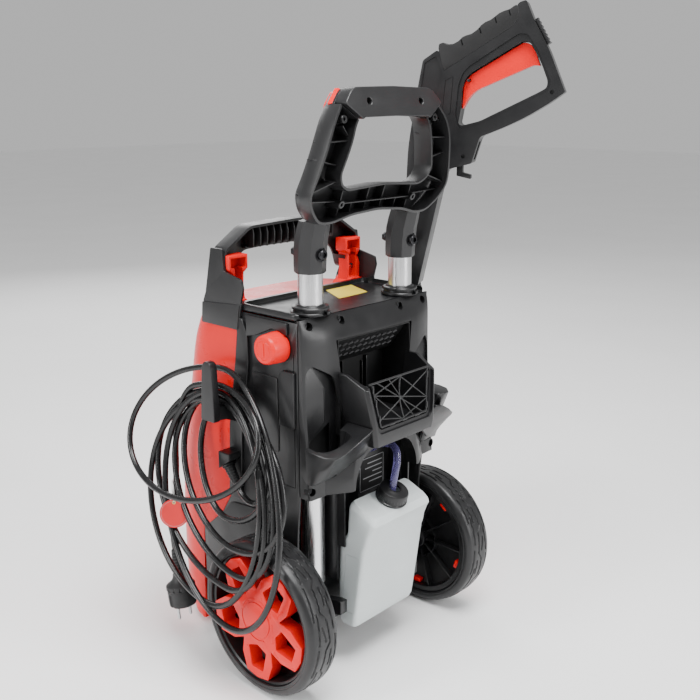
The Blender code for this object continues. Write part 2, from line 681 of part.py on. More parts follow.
def gun_shell(body):
    shell = prism("gun_shell", gun_outline(), "y", -0.0165, 0.0165, BLACK, body, [gun_window()])
    slot = [(0.060, 0.722), (0.068, 0.715), (0.160, 0.765), (0.152, 0.797), (0.136, 0.8035),
            (0.072, 0.762)]
    cut(shell, prism("trigger_slot", slot, "y", -0.0093, 0.0093, parent=body, cutter=True))
    cut(shell, rod("barrel_bore", (0, 0, 0.45), (0, 0, 0.560), 0.0078, parent=body, cutter=True))
    clip = [(0.060, 0.6380), (0.060, 0.6220), (0.079, 0.6180), (0.079, 0.6235), (0.068, 0.6265),
            (0.068, 0.6380)]
    join(shell, prism("hose_clip", clip, "y", -0.0050, 0.0050, parent=body, cutter=True))
    return cut(shell, rod("trigger_pin_hole", (0.074, -0.03, 0.7435), (0.074, 0.03, 0.7435), 0.0022,
                          parent=body, cutter=True, sides=12))


def grip_overlay(body):
    """The ribbed back of the grip, with four finger waves."""
    outline = [(0.0465, 0.7760), (0.1290, 0.8270), (0.1310, 0.8335), (0.1150, 0.8260), (0.1020, 0.8185),
               (0.0880, 0.8105), (0.0760, 0.8000), (0.0640, 0.7940), (0.0470, 0.7905), (0.0340, 0.7870),
               (0.0345, 0.7812)]
    return prism("gun_grip_overlay", outline, "y", -0.0150, 0.0150, BLACK, body)


def trigger(body):
    outline = [(0.0660, 0.708), (0.0735, 0.722), (0.0830, 0.7315), (0.155, 0.762), (0.163, 0.761),
               (0.1570, 0.777), (0.1500, 0.7875), (0.1420, 0.7895), (0.0775, 0.7515), (0.0690, 0.743),
               (0.0668, 0.733)]
    lever = prism("gun_trigger", outline, "y", -0.0085, 0.0085, RED, body)
    cut(lever, rod("trigger_bore", (0.074, -0.02, 0.7435), (0.074, 0.02, 0.7435), 0.0022,
                   parent=body, cutter=True, sides=12))
    return about(lever, (0.074, 0, 0.7435))


def lock_slider(body):
    """The ribbed lock on the end of the grip: it slides along the end face."""
    corner = Vector((0.153, 0, 0.817))
    along = (Vector((0.174, 0, 0.780)) - corner).normalized()
    out = Vector((-along.z, 0, along.x))
    start = corner + along * 0.001 + out * 0.0006
    length, depth, ribs = 0.034, 0.0045, 6
    points = [start, start + along * length]
    step = length / (2 * ribs)
    edge = []
    for k in range(2 * ribs + 1):
        lift = depth if k % 2 else depth - 0.0012
        edge.append(start + along * (length - k * step) + out * lift)
    outline = [(p.x, p.z) for p in points + edge]
    return prism("gun_lock_slider", outline, "y", -0.0110, 0.0110, DARK_GREY, body)


def gun_parts():
    body = empty("gun_frame", GUN_FOOT, MACHINE, (0, 0, 90.0 + GUN_TURN))
    gun_shell(body)
    grip_overlay(body)
    trigger(body)
    lock_slider(body)
    rod("gun_trigger_pin", (0.074, -0.0160, 0.7435), (0.074, 0.0160, 0.7435), 0.0019, STEEL, body, 12)
    lance = rod("gun_lance", (0, 0, 0.330), (0, 0, 0.558), 0.0074, STEEL, body, 20)
    return join(lance, rod("lance_nut", (0, 0, 0.455), (0, 0, 0.4735), 0.0150, parent=body,
                           cutter=True, sides=12))


def gun_holster():
    """A ring on the right side wall that the lance drops through."""
    ring = turned("gun_holster", [(0.0160, 0.405), (0.0195, 0.405), (0.0195, 0.450), (0.0160, 0.450)],
                  GUN_FOOT, BLACK, None, "z", 24)
    x = GUN_FOOT.x
    arm = box("holster_arm", (x + 0.0175, -0.033, 0.410), (-BODY_HALF - GAP, -0.017, 0.448), cutter=True)
    return join(ring, arm)


# Left side: switch, hook and gland

def knob():
    """The rotary switch's knob, with a shallow dish and a plain grip ridge."""
    base, face = BODY_HALF + 0.0006, 0.148
    cap = rod("power_knob", (base, KNOB_Y, KNOB_Z), (face, KNOB_Y, KNOB_Z), 0.0190, RED, None, 28,
              0.0172)
    dish = rod("knob_dish", (face - 0.0012, KNOB_Y, KNOB_Z), (face + 0.01, KNOB_Y, KNOB_Z), 0.0125,
               cutter=True, sides=24)
    cut(cap, dish)
    join(cap, box("knob_bar", (face - 0.0030, KNOB_Y - 0.0016, KNOB_Z - 0.011),
                  (face - 0.0002, KNOB_Y + 0.0016, KNOB_Z + 0.011), cutter=True))
    join(cap, rod("knob_stem", (0.108, KNOB_Y, KNOB_Z), (base + 0.004, KNOB_Y, KNOB_Z), 0.0042,
                  cutter=True, sides=16))
    return about(cap, (base, KNOB_Y, KNOB_Z))


def switch_unit():
    unit = box("switch_unit", (0.084, -0.032, 0.414), (0.1172, 0.012, 0.458), DARK_GREY)
    bore = rod("switch_bore", (0.1065, KNOB_Y, KNOB_Z), (0.13, KNOB_Y, KNOB_Z), 0.0046, cutter=True)
    tube_clear = rod("switch_tube_clear", (TUBE_X, TUBE_Y, 0.40), (TUBE_X, TUBE_Y, 0.47), 0.0165,
                     cutter=True, sides=32)
    return cut(unit, bore, tube_clear)


def cable_hook():
    """The arm and upright lip that the mains lead hangs on."""
    lip = [(-0.104, 0.336), (-0.078, 0.336), (-0.081, 0.404), (-0.085, 0.411), (-0.096, 0.411),
           (-0.100, 0.404)]
    hook = prism("cable_hook", lip, "x", 0.1600, 0.1690, BLACK)
    arm = box("hook_arm", (BODY_HALF + 0.0035, -0.101, 0.336), (0.1605, -0.081, 0.352), cutter=True)
    return bevel(join(hook, arm), 0.0010)


def cord_gland():
    """The strain relief, tapered towards the lead, which hangs out of its hood at a slant."""
    slant = math.degrees(math.asin(GLAND_AXIS.y))
    foot = empty("gland_frame", GLAND_FOOT, MACHINE, (slant, 0, 0))
    bore = CORD_R + 0.0007
    profile = [(bore, 0.0070), (0.0074, 0.0070), (0.0074, -0.0003), (0.0090, -0.0003),
               (0.0090, -0.0030), (0.0072, -0.0030), (0.0064, -0.0120), (0.0054, -0.0260),
               (bore, -0.0260)]
    return turned("cord_gland", profile, (0, 0, 0), BLACK, foot, "z", 20)


# Detergent bottle

def bottle_ring(half, front, rear, z, slope=0.0):
    cut_in = 0.006
    plan = [(half, front + cut_in), (half - cut_in, front), (-half + cut_in, front),
            (-half, front + cut_in), (-half, rear - cut_in), (-half + cut_in, rear),
            (half - cut_in, rear), (half, rear - cut_in)]
    return [(x, y, z - slope * (y - front)) for x, y in plan]


def bottle(body):
    rings = [bottle_ring(0.054, 0.032, 0.051, 0.055), bottle_ring(0.0605, 0.0270, 0.056, 0.064),
             bottle_ring(0.0605, 0.0265, 0.0640, 0.120), bottle_ring(0.0600, 0.0290, 0.0710, 0.170),
             bottle_ring(0.0590, 0.0400, 0.0760, 0.188), bottle_ring(0.0575, 0.0410, 0.0850, 0.2255, 0.40),
             bottle_ring(0.0530, 0.0450, 0.0810, 0.2310, 0.40)]
    tank = loft("detergent_bottle", rings, MILKY, body)
    top, up = Vector((0, 0.0635, 0.2225)), Vector((0, 0.371, 0.928))
    join(tank, rod("bottle_neck", top - up * 0.006, top + up * 0.016, 0.0165, parent=body,
                   cutter=True, sides=28))
    inner = [bottle_ring(0.0580, 0.0295, 0.0530, 0.0670), bottle_ring(0.0580, 0.0290, 0.0615, 0.120),
             bottle_ring(0.0575, 0.0315, 0.0685, 0.171), bottle_ring(0.0565, 0.0425, 0.0735, 0.188),
             bottle_ring(0.0550, 0.0435, 0.0825, 0.2225, 0.40)]
    cut(tank, loft("bottle_hollow", inner, parent=body, cutter=True))
    return cut(tank, rod("bottle_mouth", top - up * 0.012, top + up * 0.02, 0.0140, parent=body,
                         cutter=True, sides=28))


def bottle_cap(body):
    """A screw cap with a raised spigot for the suction hose, on the neck's own axis."""
    return turned("bottle_cap", [(0.0168, 0.0015), (0.0212, 0.0015), (0.0216, 0.0030),
                                 (0.0204, 0.0165), (0.0180, 0.0190), (0.0074, 0.0190),
                                 (0.0074, 0.0164), (0.0168, 0.0164)], (0, 0, 0), BLACK, body, "z", 24)


def smooth(points, count):
    """Points spread along a smooth curve through the given ones."""
    points = [Vector(p) for p in points]
    ends = [2 * points[0] - points[1]] + points + [2 * points[-1] - points[-2]]
    fine = []
    for i in range(1, len(ends) - 2):
        p0, p1, p2, p3 = ends[i - 1:i + 3]
        for k in range(24):
            t = k / 24
            fine.append(0.5 * (2 * p1 + (p2 - p0) * t + (2 * p0 - 5 * p1 + 4 * p2 - p3) * t * t
                               + (3 * p1 - p0 - 3 * p2 + p3) * t ** 3))
    fine.append(points[-1])
    run = [0.0]
    for a, b in zip(fine, fine[1:]):
        run.append(run[-1] + (b - a).length)
    out, at_index = [], 0
    for k in range(count):
        want = run[-1] * k / (count - 1)
        while at_index < len(run) - 2 and run[at_index + 1] < want:
            at_index += 1
        span = run[at_index + 1] - run[at_index]
        out.append(fine[at_index].lerp(fine[at_index + 1], (want - run[at_index]) / span))
    return out


def tube_curve(name, points, radius, look, resolution=2, parent=None, closed=False):
    curve = bpy.data.curves.new(name, "CURVE")
    curve.dimensions = "3D"
    curve.bevel_depth = radius
    curve.bevel_resolution = resolution
    curve.use_fill_caps = not closed
    spline = curve.splines.new("POLY")
    spline.points.add(len(points) - 1)
    for point, place in zip(spline.points, points):
        point.co = (*place, 1.0)
    spline.use_cyclic_u = closed
    obj = bpy.data.objects.new(name, curve)
    PARTS.objects.link(obj)
    obj.parent = parent or MACHINE
    paint(obj, look)
    return obj


HOSE_ROUTE = ((0.0, 0.0720, 0.2440), (0.0, 0.0775, 0.2580), (0.0, 0.0790, 0.2720),
              (0.0, 0.0700, 0.2860), (0.0, 0.0500, 0.2850), (0.0, 0.0300, 0.2780),
              (0.0, 0.0100, 0.2750))
LEAD_ROUTE = ((0.1345, -0.1002, 0.2725), (0.1345, -0.0908, 0.2590), (0.1347, -0.0850, 0.2508),
              (0.1352, -0.0780, 0.2415), (0.1365, -0.0665, 0.2318), (0.1385, -0.0515, 0.2280),
              (0.1405, -0.0365, 0.2318), (0.1425, -0.0245, 0.2415), (0.1440, -0.0180, 0.2560),
              (0.1450, -0.0165, 0.2760), (0.1460, -0.0165, 0.2960), (0.1475, -0.0160, 0.3160),
              (0.1490, -0.0150, 0.3350))
LOOP_ROUTE = ((0.1535, -0.0270, 0.3430), (0.1720, -0.0130, 0.3080), (0.1880, -0.0330, 0.2700),
              (0.1990, -0.0850, 0.2430), (0.2020, -0.1450, 0.2330), (0.1940, -0.2010, 0.2500),
              (0.1830, -0.2280, 0.2980), (0.1680, -0.2100, 0.3510), (0.1540, -0.1600, 0.3870),
              (0.1450, -0.1080, 0.3965), (0.1430, -0.0850, 0.3975))
TAIL_ROUTE = ((0.1480, -0.1335, 0.3690), (0.1490, -0.1550, 0.3570), (0.1520, -0.1700, 0.3300),
              (0.1560, -0.1760, 0.2900), (0.1590, -0.1755, 0.2400), (0.1620, -0.1780, 0.1900),
              (0.1645, -0.1815, 0.1480), (0.1650, -0.1787, 0.1307))
COIL_MID = Vector((0.143, -0.042, 0.253))
COIL_HALF_Y = 0.088
COIL_HALF_Z = 0.125
COIL_BUNDLE = 0.012
COIL_SWAY = 0.030
COIL_LEAN = 0.064
PLUG_TOP = Vector((0.165, -0.1786, 0.1301))
PLUG_AXIS = Vector((0.0, 0.160, -0.987)).normalized()


def coil_point(turn, spread=0.0):
    """A point on the oval that hangs from the hook and leans out over the wheel."""
    rise = math.sin(turn)
    drop = (1.0 - rise) / 2
    return Vector((COIL_MID.x + COIL_LEAN * drop ** 0.8,
                   COIL_MID.y - COIL_SWAY * rise + (COIL_HALF_Y + spread) * math.cos(turn),
                   COIL_MID.z + (COIL_HALF_Z + spread) * rise))


def coil_ring():
    points = [coil_point(math.tau * (k + 0.5) / 32) for k in range(32)]
    return tube_curve("cord_coil", points, COIL_BUNDLE, BLACK, 2, closed=True)


def mains_plug():
    """A two-pin round plug with a ribbed, tapered tail, hanging pins down."""
    along = PLUG_AXIS
    side = along.cross(Vector((1, 0, 0))).cross(along).normalized()
    def step(a, b, r0, r1, name, sides=24):
        return rod(name, PLUG_TOP + along * a, PLUG_TOP + along * b, r0, None, None, sides, r1, True)
    plug = rod("mains_plug", PLUG_TOP, PLUG_TOP + along * 0.036, 0.0056, BLACK, None, 20, 0.0078)
    join(plug, step(0.0345, 0.0500, 0.0085, 0.0165, "plug_neck"),
         step(0.0490, 0.0560, 0.0185, 0.0200, "plug_flange"),
         step(0.0550, 0.0790, 0.0195, 0.0180, "plug_body"))
    for k in (1, -1):
        foot = PLUG_TOP + side * 0.0095 * k
        join(plug, rod(f"plug_pin_{k}", foot + along * 0.075, foot + along * 0.098, 0.0024,
                       cutter=True, sides=12))
    return plug


def hang_tag():
    """A plain round card that hangs in front of the loose loop."""
    middle, facing = Vector((0.190, -0.1420, 0.2020)), Vector((0.74, 0.66, 0.12)).normalized()
    return rod("hang_tag", middle - facing * 0.0005, middle + facing * 0.0005, 0.0190, RED, None, 28)


def cord_parts():
    cord_gland()
    coil_ring()
    tube_curve("cord_lead", smooth(LEAD_ROUTE, 16), CORD_R, BLACK)
    tube_curve("cord_loop", smooth(LOOP_ROUTE, 28), CORD_R, BLACK)
    tube_curve("cord_tail", smooth(TAIL_ROUTE, 18), CORD_R, BLACK)
    mains_plug()
    hang_tag()


# Drive and pump, inside the shells

def drive_parts():
    turned("motor_housing", [(0.0560, 0.225), (0.0590, 0.225), (0.0590, 0.380), (0.0150, 0.384),
                             (0.0150, 0.381), (0.0560, 0.377)], (0, MOTOR_Y, 0), ALUMINIUM, None, "z", 24)
    turned("motor_windings", [(0.0390, 0.236), (0.0555, 0.236), (0.0555, 0.366), (0.0390, 0.366)],
           (0, MOTOR_Y, 0), COPPER, None, "z", 20)
    rotor = turned("motor_rotor", [(0.0001, 0.200), (0.0070, 0.200), (0.0070, 0.245), (0.0380, 0.245),
                                   (0.0380, 0.357), (0.0070, 0.357), (0.0070, 0.410), (0.0001, 0.410)],
                   (0, MOTOR_Y, 0), STEEL, None, "z", 20)
    fan = turned("cooling_fan", [(0.0074, 0.388), (0.0130, 0.388), (0.0540, 0.388), (0.0540, 0.390),
                                 (0.0130, 0.3905), (0.0130, 0.404), (0.0074, 0.404)],
                 (0, MOTOR_Y, 0), BLACK, None, "z", 20)
    for k in range(8):
        a = math.tau * k / 8
        tip = Vector((math.cos(a), math.sin(a), 0))
        across = Vector((-tip.y, tip.x, 0)) * 0.0010
        ring = [Vector((0, MOTOR_Y, 0)) + tip * r + across * s
                for r, s in ((0.0120, -1), (0.0120, 1), (0.0520, 1), (0.0520, -1))]
        outline = [(p.x, p.y) for p in ring]
        join(fan, prism(f"fan_blade_{k}", outline, "z", 0.3893, 0.4030, cutter=True))
    return rotor


def pump_parts():
    turned("gearbox", [(0.0001, 0.150), (0.0500, 0.150), (0.0560, 0.160), (0.0560, 0.2245),
                       (0.0480, 0.2245), (0.0480, 0.158), (0.0001, 0.158)], (0, MOTOR_Y, 0),
           ALUMINIUM, None, "z", 24)
    swash = rod("swash_plate", (0, MOTOR_Y, 0.184), (0, MOTOR_Y, 0.1995), 0.036, STEEL, None, 28)
    wedge = [(MOTOR_Y - 0.05, 0.1800), (MOTOR_Y + 0.05, 0.1800), (MOTOR_Y + 0.05, 0.1920),
             (MOTOR_Y - 0.05, 0.1845)]
    cut(swash, prism("swash_slope", wedge, "x", -0.05, 0.05, cutter=True))
    head = box("pump_head", (-0.045, MOTOR_Y - 0.045, 0.078), (0.045, MOTOR_Y + 0.045, 0.1495), STEEL)
    for k in range(3):
        a = math.tau * k / 3
        x, y = 0.022 * math.cos(a), MOTOR_Y + 0.022 * math.sin(a)
        cut(head, rod(f"plunger_bore_{k}", (x, y, 0.100), (x, y, 0.20), 0.0066, cutter=True, sides=16))
        cut(bpy.data.objects["gearbox"], rod(f"gearbox_bore_{k}", (x, y, 0.140), (x, y, 0.170), 0.0066,
                                             cutter=True, sides=16))
        rod(f"pump_plunger_{k + 1}", (x, y, 0.105), (x, y, 0.1790), 0.0062, STEEL, None, 16)
    for name, x, radius, look in (("water_inlet", -0.030, 0.0165, BLACK),
                                  ("pressure_outlet", 0.030, 0.0145, BRASS)):
        fitting = rod(name, (x, -0.278, 0.115), (x, MOTOR_Y - 0.0455, 0.115), radius, look, None, 24)
        cut(fitting, rod(name + "_bore", (x, -0.30, 0.115), (x, -0.170, 0.115), radius - 0.004,
                         cutter=True, sides=20))
    rod("run_capacitor", (0.088, -0.150, 0.230), (0.088, -0.150, 0.310), 0.0200, ALUMINIUM, None, 20)
    return head


def build():
    front_shell()
    front_panel()
    left_shell()
    cut(side_shell(-1, "right_side_shell"), axle_hole(-1))
    base_tray()
    chassis_back()
    front_foot()
    top_cover()
    tube_collar(1, "tube_collar_left")
    tube_collar(-1, "tube_collar_right")
    rear_cover()
    recess_lining()
    bin_grille()
    carry_handle()
    upper = empty("handle_slide", (0, 0, 0), MACHINE)
    handle_frame(upper)
    grip_cover(upper)
    for side, word in ((1, "left"), (-1, "right")):
        handle_tube(side, f"handle_tube_{word}", upper)
        sleeve_bolt(side, f"sleeve_bolt_{word}", upper)
        tyre(side, f"tyre_{word}", MACHINE)
        rim(side, f"rim_{word}", MACHINE)
        wheel_cover(side, f"wheel_cover_{word}", MACHINE)
    rod("axle", (-0.1582, 0, AXLE_Z), (0.1582, 0, AXLE_Z), AXLE_R, STEEL, None, 24)
    gun_parts()
    gun_holster()
    knob()
    switch_unit()
    cable_hook()
    tank = empty("bottle_slide", (0, 0, 0), MACHINE)
    bottle(tank)
    neck = empty("cap_turn", (0, 0.0635, 0.2225), tank, (-21.8, 0, 0))
    bottle_cap(neck)
    tube_curve("suction_hose", smooth(HOSE_ROUTE, 14), 0.0050, CLEAR, 3)
    drive_parts()
    pump_parts()
    cord_parts()


build()
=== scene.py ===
"""The looks of an upright pressure washer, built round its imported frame.

Pieces are modelled in the machine's own frame, with the middle of the machine at x = 0, the wheel
axle at y = 0 and the floor at z = 0: the front is -Y, the rear is +Y and the left side is +X.
Each one is then moved to where the frame holds the axle.
"""
import json
import math

import bmesh
import bpy
from mathutils import Matrix, Vector


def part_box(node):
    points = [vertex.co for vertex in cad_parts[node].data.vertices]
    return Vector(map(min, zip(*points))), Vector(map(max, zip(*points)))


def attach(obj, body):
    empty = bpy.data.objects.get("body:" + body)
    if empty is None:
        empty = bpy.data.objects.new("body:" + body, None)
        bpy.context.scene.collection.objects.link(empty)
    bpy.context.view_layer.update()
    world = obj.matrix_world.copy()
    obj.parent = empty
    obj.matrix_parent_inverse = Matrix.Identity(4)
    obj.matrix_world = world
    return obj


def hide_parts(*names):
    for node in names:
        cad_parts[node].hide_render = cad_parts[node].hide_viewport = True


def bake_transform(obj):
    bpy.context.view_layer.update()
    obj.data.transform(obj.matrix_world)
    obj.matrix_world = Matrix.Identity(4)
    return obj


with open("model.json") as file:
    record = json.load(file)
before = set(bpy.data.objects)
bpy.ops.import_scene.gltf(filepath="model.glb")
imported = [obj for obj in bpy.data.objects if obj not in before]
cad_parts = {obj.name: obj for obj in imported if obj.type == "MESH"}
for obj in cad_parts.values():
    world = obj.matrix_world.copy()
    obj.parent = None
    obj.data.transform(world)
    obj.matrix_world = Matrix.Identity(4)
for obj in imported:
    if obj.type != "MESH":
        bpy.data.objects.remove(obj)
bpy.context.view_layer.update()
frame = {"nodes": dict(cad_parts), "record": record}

AXLE_LOW, AXLE_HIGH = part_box("axle")
SHIFT = Vector(((AXLE_LOW.x + AXLE_HIGH.x) / 2, (AXLE_LOW.y + AXLE_HIGH.y) / 2, 0.0))

# Driving dimensions, as in the part's source
BODY_HALF = 0.121
WALL = 0.003
WHEEL_R = 0.1
WHEEL_OUT = 0.18
WHEEL_IN = 0.133
AXLE_Z = 0.1
TUBE_X = 0.0834
TUBE_Y = 0.0048
TUBE_R = 0.0153
BOLT_Z = 0.545
TOP_Z = 0.472
KNOB_Y = -0.01
KNOB_Z = 0.436
GUN_FOOT = Vector((-0.145, -0.025, 0.0))
GUN_TURN = 26.0
CORD_R = 0.004
HOSE_HOLE_Z = 0.275
SIDES = ((1, "left"), (-1, "right"))
TO_FRAME = Matrix.Translation(SHIFT)
# The gun is drawn upright over its foot and turned about its barrel
TO_GUN = TO_FRAME @ Matrix.Translation(GUN_FOOT) @ Matrix.Rotation(math.radians(90 + GUN_TURN), 4, "Z")


def mm(*points):
    """Points given in millimetres, as a list in metres."""
    return [tuple(round(value / 1000, 6) for value in point) for point in points]


# Materials

def new_material(name, color, rough, metal=0.0):
    material = bpy.data.materials.new(name)
    material.use_nodes = True
    shader = material.node_tree.nodes["Principled BSDF"]
    shader.inputs["Base Color"].default_value = (*color, 1.0)
    shader.inputs["Roughness"].default_value = rough
    shader.inputs["Metallic"].default_value = metal
    return material, material.node_tree, shader


def noise(tree, scale, detail=3.0, stretch=None):
    """A noise texture in the object's own metres, stretched if asked."""
    place = tree.nodes.new("ShaderNodeTexCoord")
    pattern = tree.nodes.new("ShaderNodeTexNoise")
    pattern.inputs["Scale"].default_value = scale
    pattern.inputs["Detail"].default_value = detail
    source = place.outputs["Object"]
    if stretch:
        mapping = tree.nodes.new("ShaderNodeMapping")
        mapping.inputs["Scale"].default_value = stretch
        tree.links.new(source, mapping.inputs["Vector"])
        source = mapping.outputs["Vector"]
    tree.links.new(source, pattern.inputs["Vector"])
    return pattern.outputs["Fac"]


def spread(tree, value, low, high):
    """Maps a 0 to 1 pattern onto a range."""
    ranged = tree.nodes.new("ShaderNodeMapRange")
    ranged.inputs["From Min"].default_value = 0.3
    ranged.inputs["From Max"].default_value = 0.7
    ranged.inputs["To Min"].default_value = low
    ranged.inputs["To Max"].default_value = high
    tree.links.new(value, ranged.inputs["Value"])
    return ranged.outputs["Result"]


def tint(tree, value, dark, light):
    ramp = tree.nodes.new("ShaderNodeValToRGB")
    ramp.color_ramp.elements[0].position = 0.3
    ramp.color_ramp.elements[0].color = (*dark, 1.0)
    ramp.color_ramp.elements[1].position = 0.7
    ramp.color_ramp.elements[1].color = (*light, 1.0)
    tree.links.new(value, ramp.inputs["Fac"])
    return ramp.outputs["Color"]


def bump(tree, shader, value, depth, strength=1.0):
    node = tree.nodes.new("ShaderNodeBump")
    node.inputs["Distance"].default_value = depth
    node.inputs["Strength"].default_value = strength
    tree.links.new(value, node.inputs["Height"])
    tree.links.new(node.outputs["Normal"], shader.inputs["Normal"])


def moulded(name, color, rough, grain=900.0, depth=0.00004, contrast=0.12, shine=0.34):
    """Injection-moulded plastic: a fine grain, cloudy gloss and a faint variation in colour."""
    material, tree, shader = new_material(name, color, rough)
    shader.inputs["Specular IOR Level"].default_value = shine
    clouds = noise(tree, 14.0, 4.0)
    dark = [c * (1 - contrast) for c in color]
    light = [min(1.0, c * (1 + contrast)) for c in color]
    tree.links.new(tint(tree, clouds, dark, light), shader.inputs["Base Color"])
    tree.links.new(spread(tree, noise(tree, 45.0, 5.0), rough - 0.05, rough + 0.07),
                   shader.inputs["Roughness"])
    bump(tree, shader, noise(tree, grain, 2.0), depth)
    return material


def drawn_metal(name, color, rough, stretch, metal=1.0):
    """Metal with fine lines along one direction."""
    material, tree, shader = new_material(name, color, rough, metal)
    lines = noise(tree, 60.0, 4.0, stretch)
    tree.links.new(spread(tree, lines, rough - 0.08, rough + 0.12), shader.inputs["Roughness"])
    tree.links.new(tint(tree, lines, [c * 0.86 for c in color], color), shader.inputs["Base Color"])
    bump(tree, shader, lines, 0.00002)
    return material


def rubber(name, color, rough, grain=1400.0, depth=0.00005):
    material, tree, shader = new_material(name, color, rough)
    shader.inputs["Specular IOR Level"].default_value = 0.42
    dust = noise(tree, 26.0, 6.0)
    tree.links.new(tint(tree, dust, color, [c * 1.5 + 0.002 for c in color]), shader.inputs["Base Color"])
    tree.links.new(spread(tree, noise(tree, 80.0, 3.0), rough - 0.06, rough + 0.08),
                   shader.inputs["Roughness"])
    bump(tree, shader, noise(tree, grain, 2.0), depth)
    return material


def see_through(name, color, rough, share, depth=0.0, ior=1.45):
    """Translucent plastic: part of the light goes through it."""
    material, tree, shader = new_material(name, color, rough)
    shader.inputs["Transmission Weight"].default_value = share
    shader.inputs["IOR"].default_value = ior
    if depth:
        tree.links.new(tint(tree, noise(tree, 18.0, 3.0), [c * 0.93 for c in color], color),
                       shader.inputs["Base Color"])
        bump(tree, shader, noise(tree, 120.0, 3.0), depth)
    return material


RED = moulded("red_plastic", (0.74, 0.006, 0.0055), 0.30, 1100.0, 0.00003, 0.05, 0.24)
BLACK = moulded("black_plastic", (0.0072, 0.0072, 0.0078), 0.33, shine=0.44)
CHARCOAL = moulded("charcoal_plastic", (0.0125, 0.0125, 0.0132), 0.36, 1000.0, 0.00005, shine=0.42)
SOFT_GRIP = moulded("grip_plastic", (0.0075, 0.0075, 0.0078), 0.52, 1500.0, 0.00006)
# Lighter grey than the black plastic round it: painted highlight on the raised slits in the recess.
SLIT_HIGHLIGHT = moulded("slit_painted_highlight", (0.075, 0.075, 0.078), 0.34)
# Darker and duller than the black plastic: painted shade on deep inner walls, pocket liners and screw cups;
# on the rating label it is the label's own dark colour.
SHADE_AND_LABEL_DARK = moulded("painted_shade_and_label_dark", (0.005, 0.005, 0.0053), 0.55)
PALE = moulded("pale_print", (0.30, 0.30, 0.31), 0.5, 700.0, 0.00001)
TYRE = rubber("tyre_rubber", (0.008, 0.008, 0.0086), 0.37)
RUBBER = rubber("plug_rubber", (0.011, 0.011, 0.0115), 0.5)
SHEATH = rubber("cable_sheath", (0.0045, 0.0045, 0.0048), 0.24, 700.0, 0.00002)
ALUMINIUM = drawn_metal("handle_aluminium", (0.80, 0.80, 0.81), 0.26, (40.0, 40.0, 0.8))
CASTING = drawn_metal("cast_aluminium", (0.62, 0.62, 0.63), 0.42, (8.0, 8.0, 8.0))
STEEL = drawn_metal("bright_steel", (0.55, 0.55, 0.56), 0.28, (20.0, 20.0, 1.0))
DARK_STEEL = drawn_metal("black_oxide_steel", (0.045, 0.045, 0.048), 0.34, (20.0, 20.0, 20.0))
BRASS = drawn_metal("brass", (0.72, 0.50, 0.20), 0.28, (20.0, 20.0, 20.0))
COPPER = drawn_metal("copper_wire", (0.62, 0.27, 0.12), 0.35, (10.0, 10.0, 60.0))
MILKY = see_through("milky_plastic", (0.82, 0.87, 0.87), 0.36, 0.40, 0.0002)
CLEAR = see_through("clear_hose", (0.15, 0.13, 0.33), 0.08, 0.62, ior=1.46)
YELLOW = moulded("yellow_label", (0.80, 0.62, 0.06), 0.5, 600.0, 0.00002)
CARD = moulded("tag_card", (0.62, 0.016, 0.018), 0.38, 500.0, 0.00003, 0.06)
WHITE = moulded("white_thread", (0.75, 0.75, 0.73), 0.6, 900.0, 0.00003)


# Shapes

def rounded(points, radius, steps=5):
    """An outline with each corner turned into a short arc; radius may be one per corner."""
    count = len(points)
    radii = list(radius) if isinstance(radius, (list, tuple)) else [radius] * count
    out = []
    for i, here in enumerate(points):
        p, a, b = Vector(here), Vector(points[i - 1]), Vector(points[(i + 1) % count])
        reach = min(radii[i], 0.46 * (a - p).length, 0.46 * (b - p).length)
        if reach < 1e-5:
            out.append(tuple(p))
            continue
        start, end = p + (a - p).normalized() * reach, p + (b - p).normalized() * reach
        for k in range(steps + 1):
            t = k / steps
            out.append(tuple(start * (1 - t) ** 2 + p * 2 * t * (1 - t) + end * t * t))
    return out


def span(side, a, b):
    """Two distances from the mid-line on one side, the lower coordinate first."""
    return sorted((side * a, side * b))


def flipped(side, points):
    """An outline drawn for the left side, or its mirror image for the right side."""
    return [(side * u, v) for u, v in points]


def mirrored(half):
    """Completes an outline whose half runs on the +u side from the mid-line to the mid-line."""
    return half + [(-u, v) for u, v in reversed(half) if abs(u) > 1e-6]


AXES = {"x": (1, 2, 0), "y": (0, 2, 1), "z": (0, 1, 2)}


def solid_point(axis, u, v, w):
    point = [0.0, 0.0, 0.0]
    for index, value in zip(AXES[axis], (u, v, w)):
        point[index] = value
    return point


def prism_bm(outline, axis, low, high, holes=()):
    """A flat outline, in the two axes across `axis`, pushed from low to high along it."""
    bm = bmesh.new()
    edges = []
    for ring in (outline, *holes):
        verts = [bm.verts.new(solid_point(axis, u, v, low)) for u, v in ring]
        edges += [bm.edges.new((a, b)) for a, b in zip(verts, verts[1:] + verts[:1])]
    if holes:
        bmesh.ops.triangle_fill(bm, use_beauty=True, use_dissolve=False, edges=edges)
        bmesh.ops.dissolve_limit(bm, angle_limit=0.01, verts=bm.verts, edges=bm.edges)
    else:
        bm.faces.new(bm.verts)
    grown = bmesh.ops.extrude_face_region(bm, geom=bm.faces[:])["geom"]
    moved = [g for g in grown if isinstance(g, bmesh.types.BMVert)]
    bmesh.ops.translate(bm, verts=moved, vec=solid_point(axis, 0, 0, high - low))
    return bm


def linked(name, data, matrix=None):
    obj = bpy.data.objects.new(name, data)
    bpy.context.scene.collection.objects.link(obj)
    if matrix is not None:
        obj.matrix_world = matrix
    return obj


def as_object(bm, name, matrix=TO_FRAME, turn_out=True):
    """An object from a bmesh; its faces are turned outwards unless they already are."""
    if turn_out:
        bmesh.ops.recalc_face_normals(bm, faces=bm.faces)
    mesh = bpy.data.meshes.new(name)
    bm.to_mesh(mesh)
    bm.free()
    mesh.shade_smooth()
    return linked(name, mesh, matrix)


def merged(name, objects, matrix=TO_FRAME):
    """One mesh object from several baked ones that share a placement."""
    bm = bmesh.new()
    for obj in objects:
        bm.from_mesh(obj.data)
    for obj in objects:
        bpy.data.objects.remove(obj, do_unlink=True)
    return as_object(bm, name, matrix, turn_out=False)


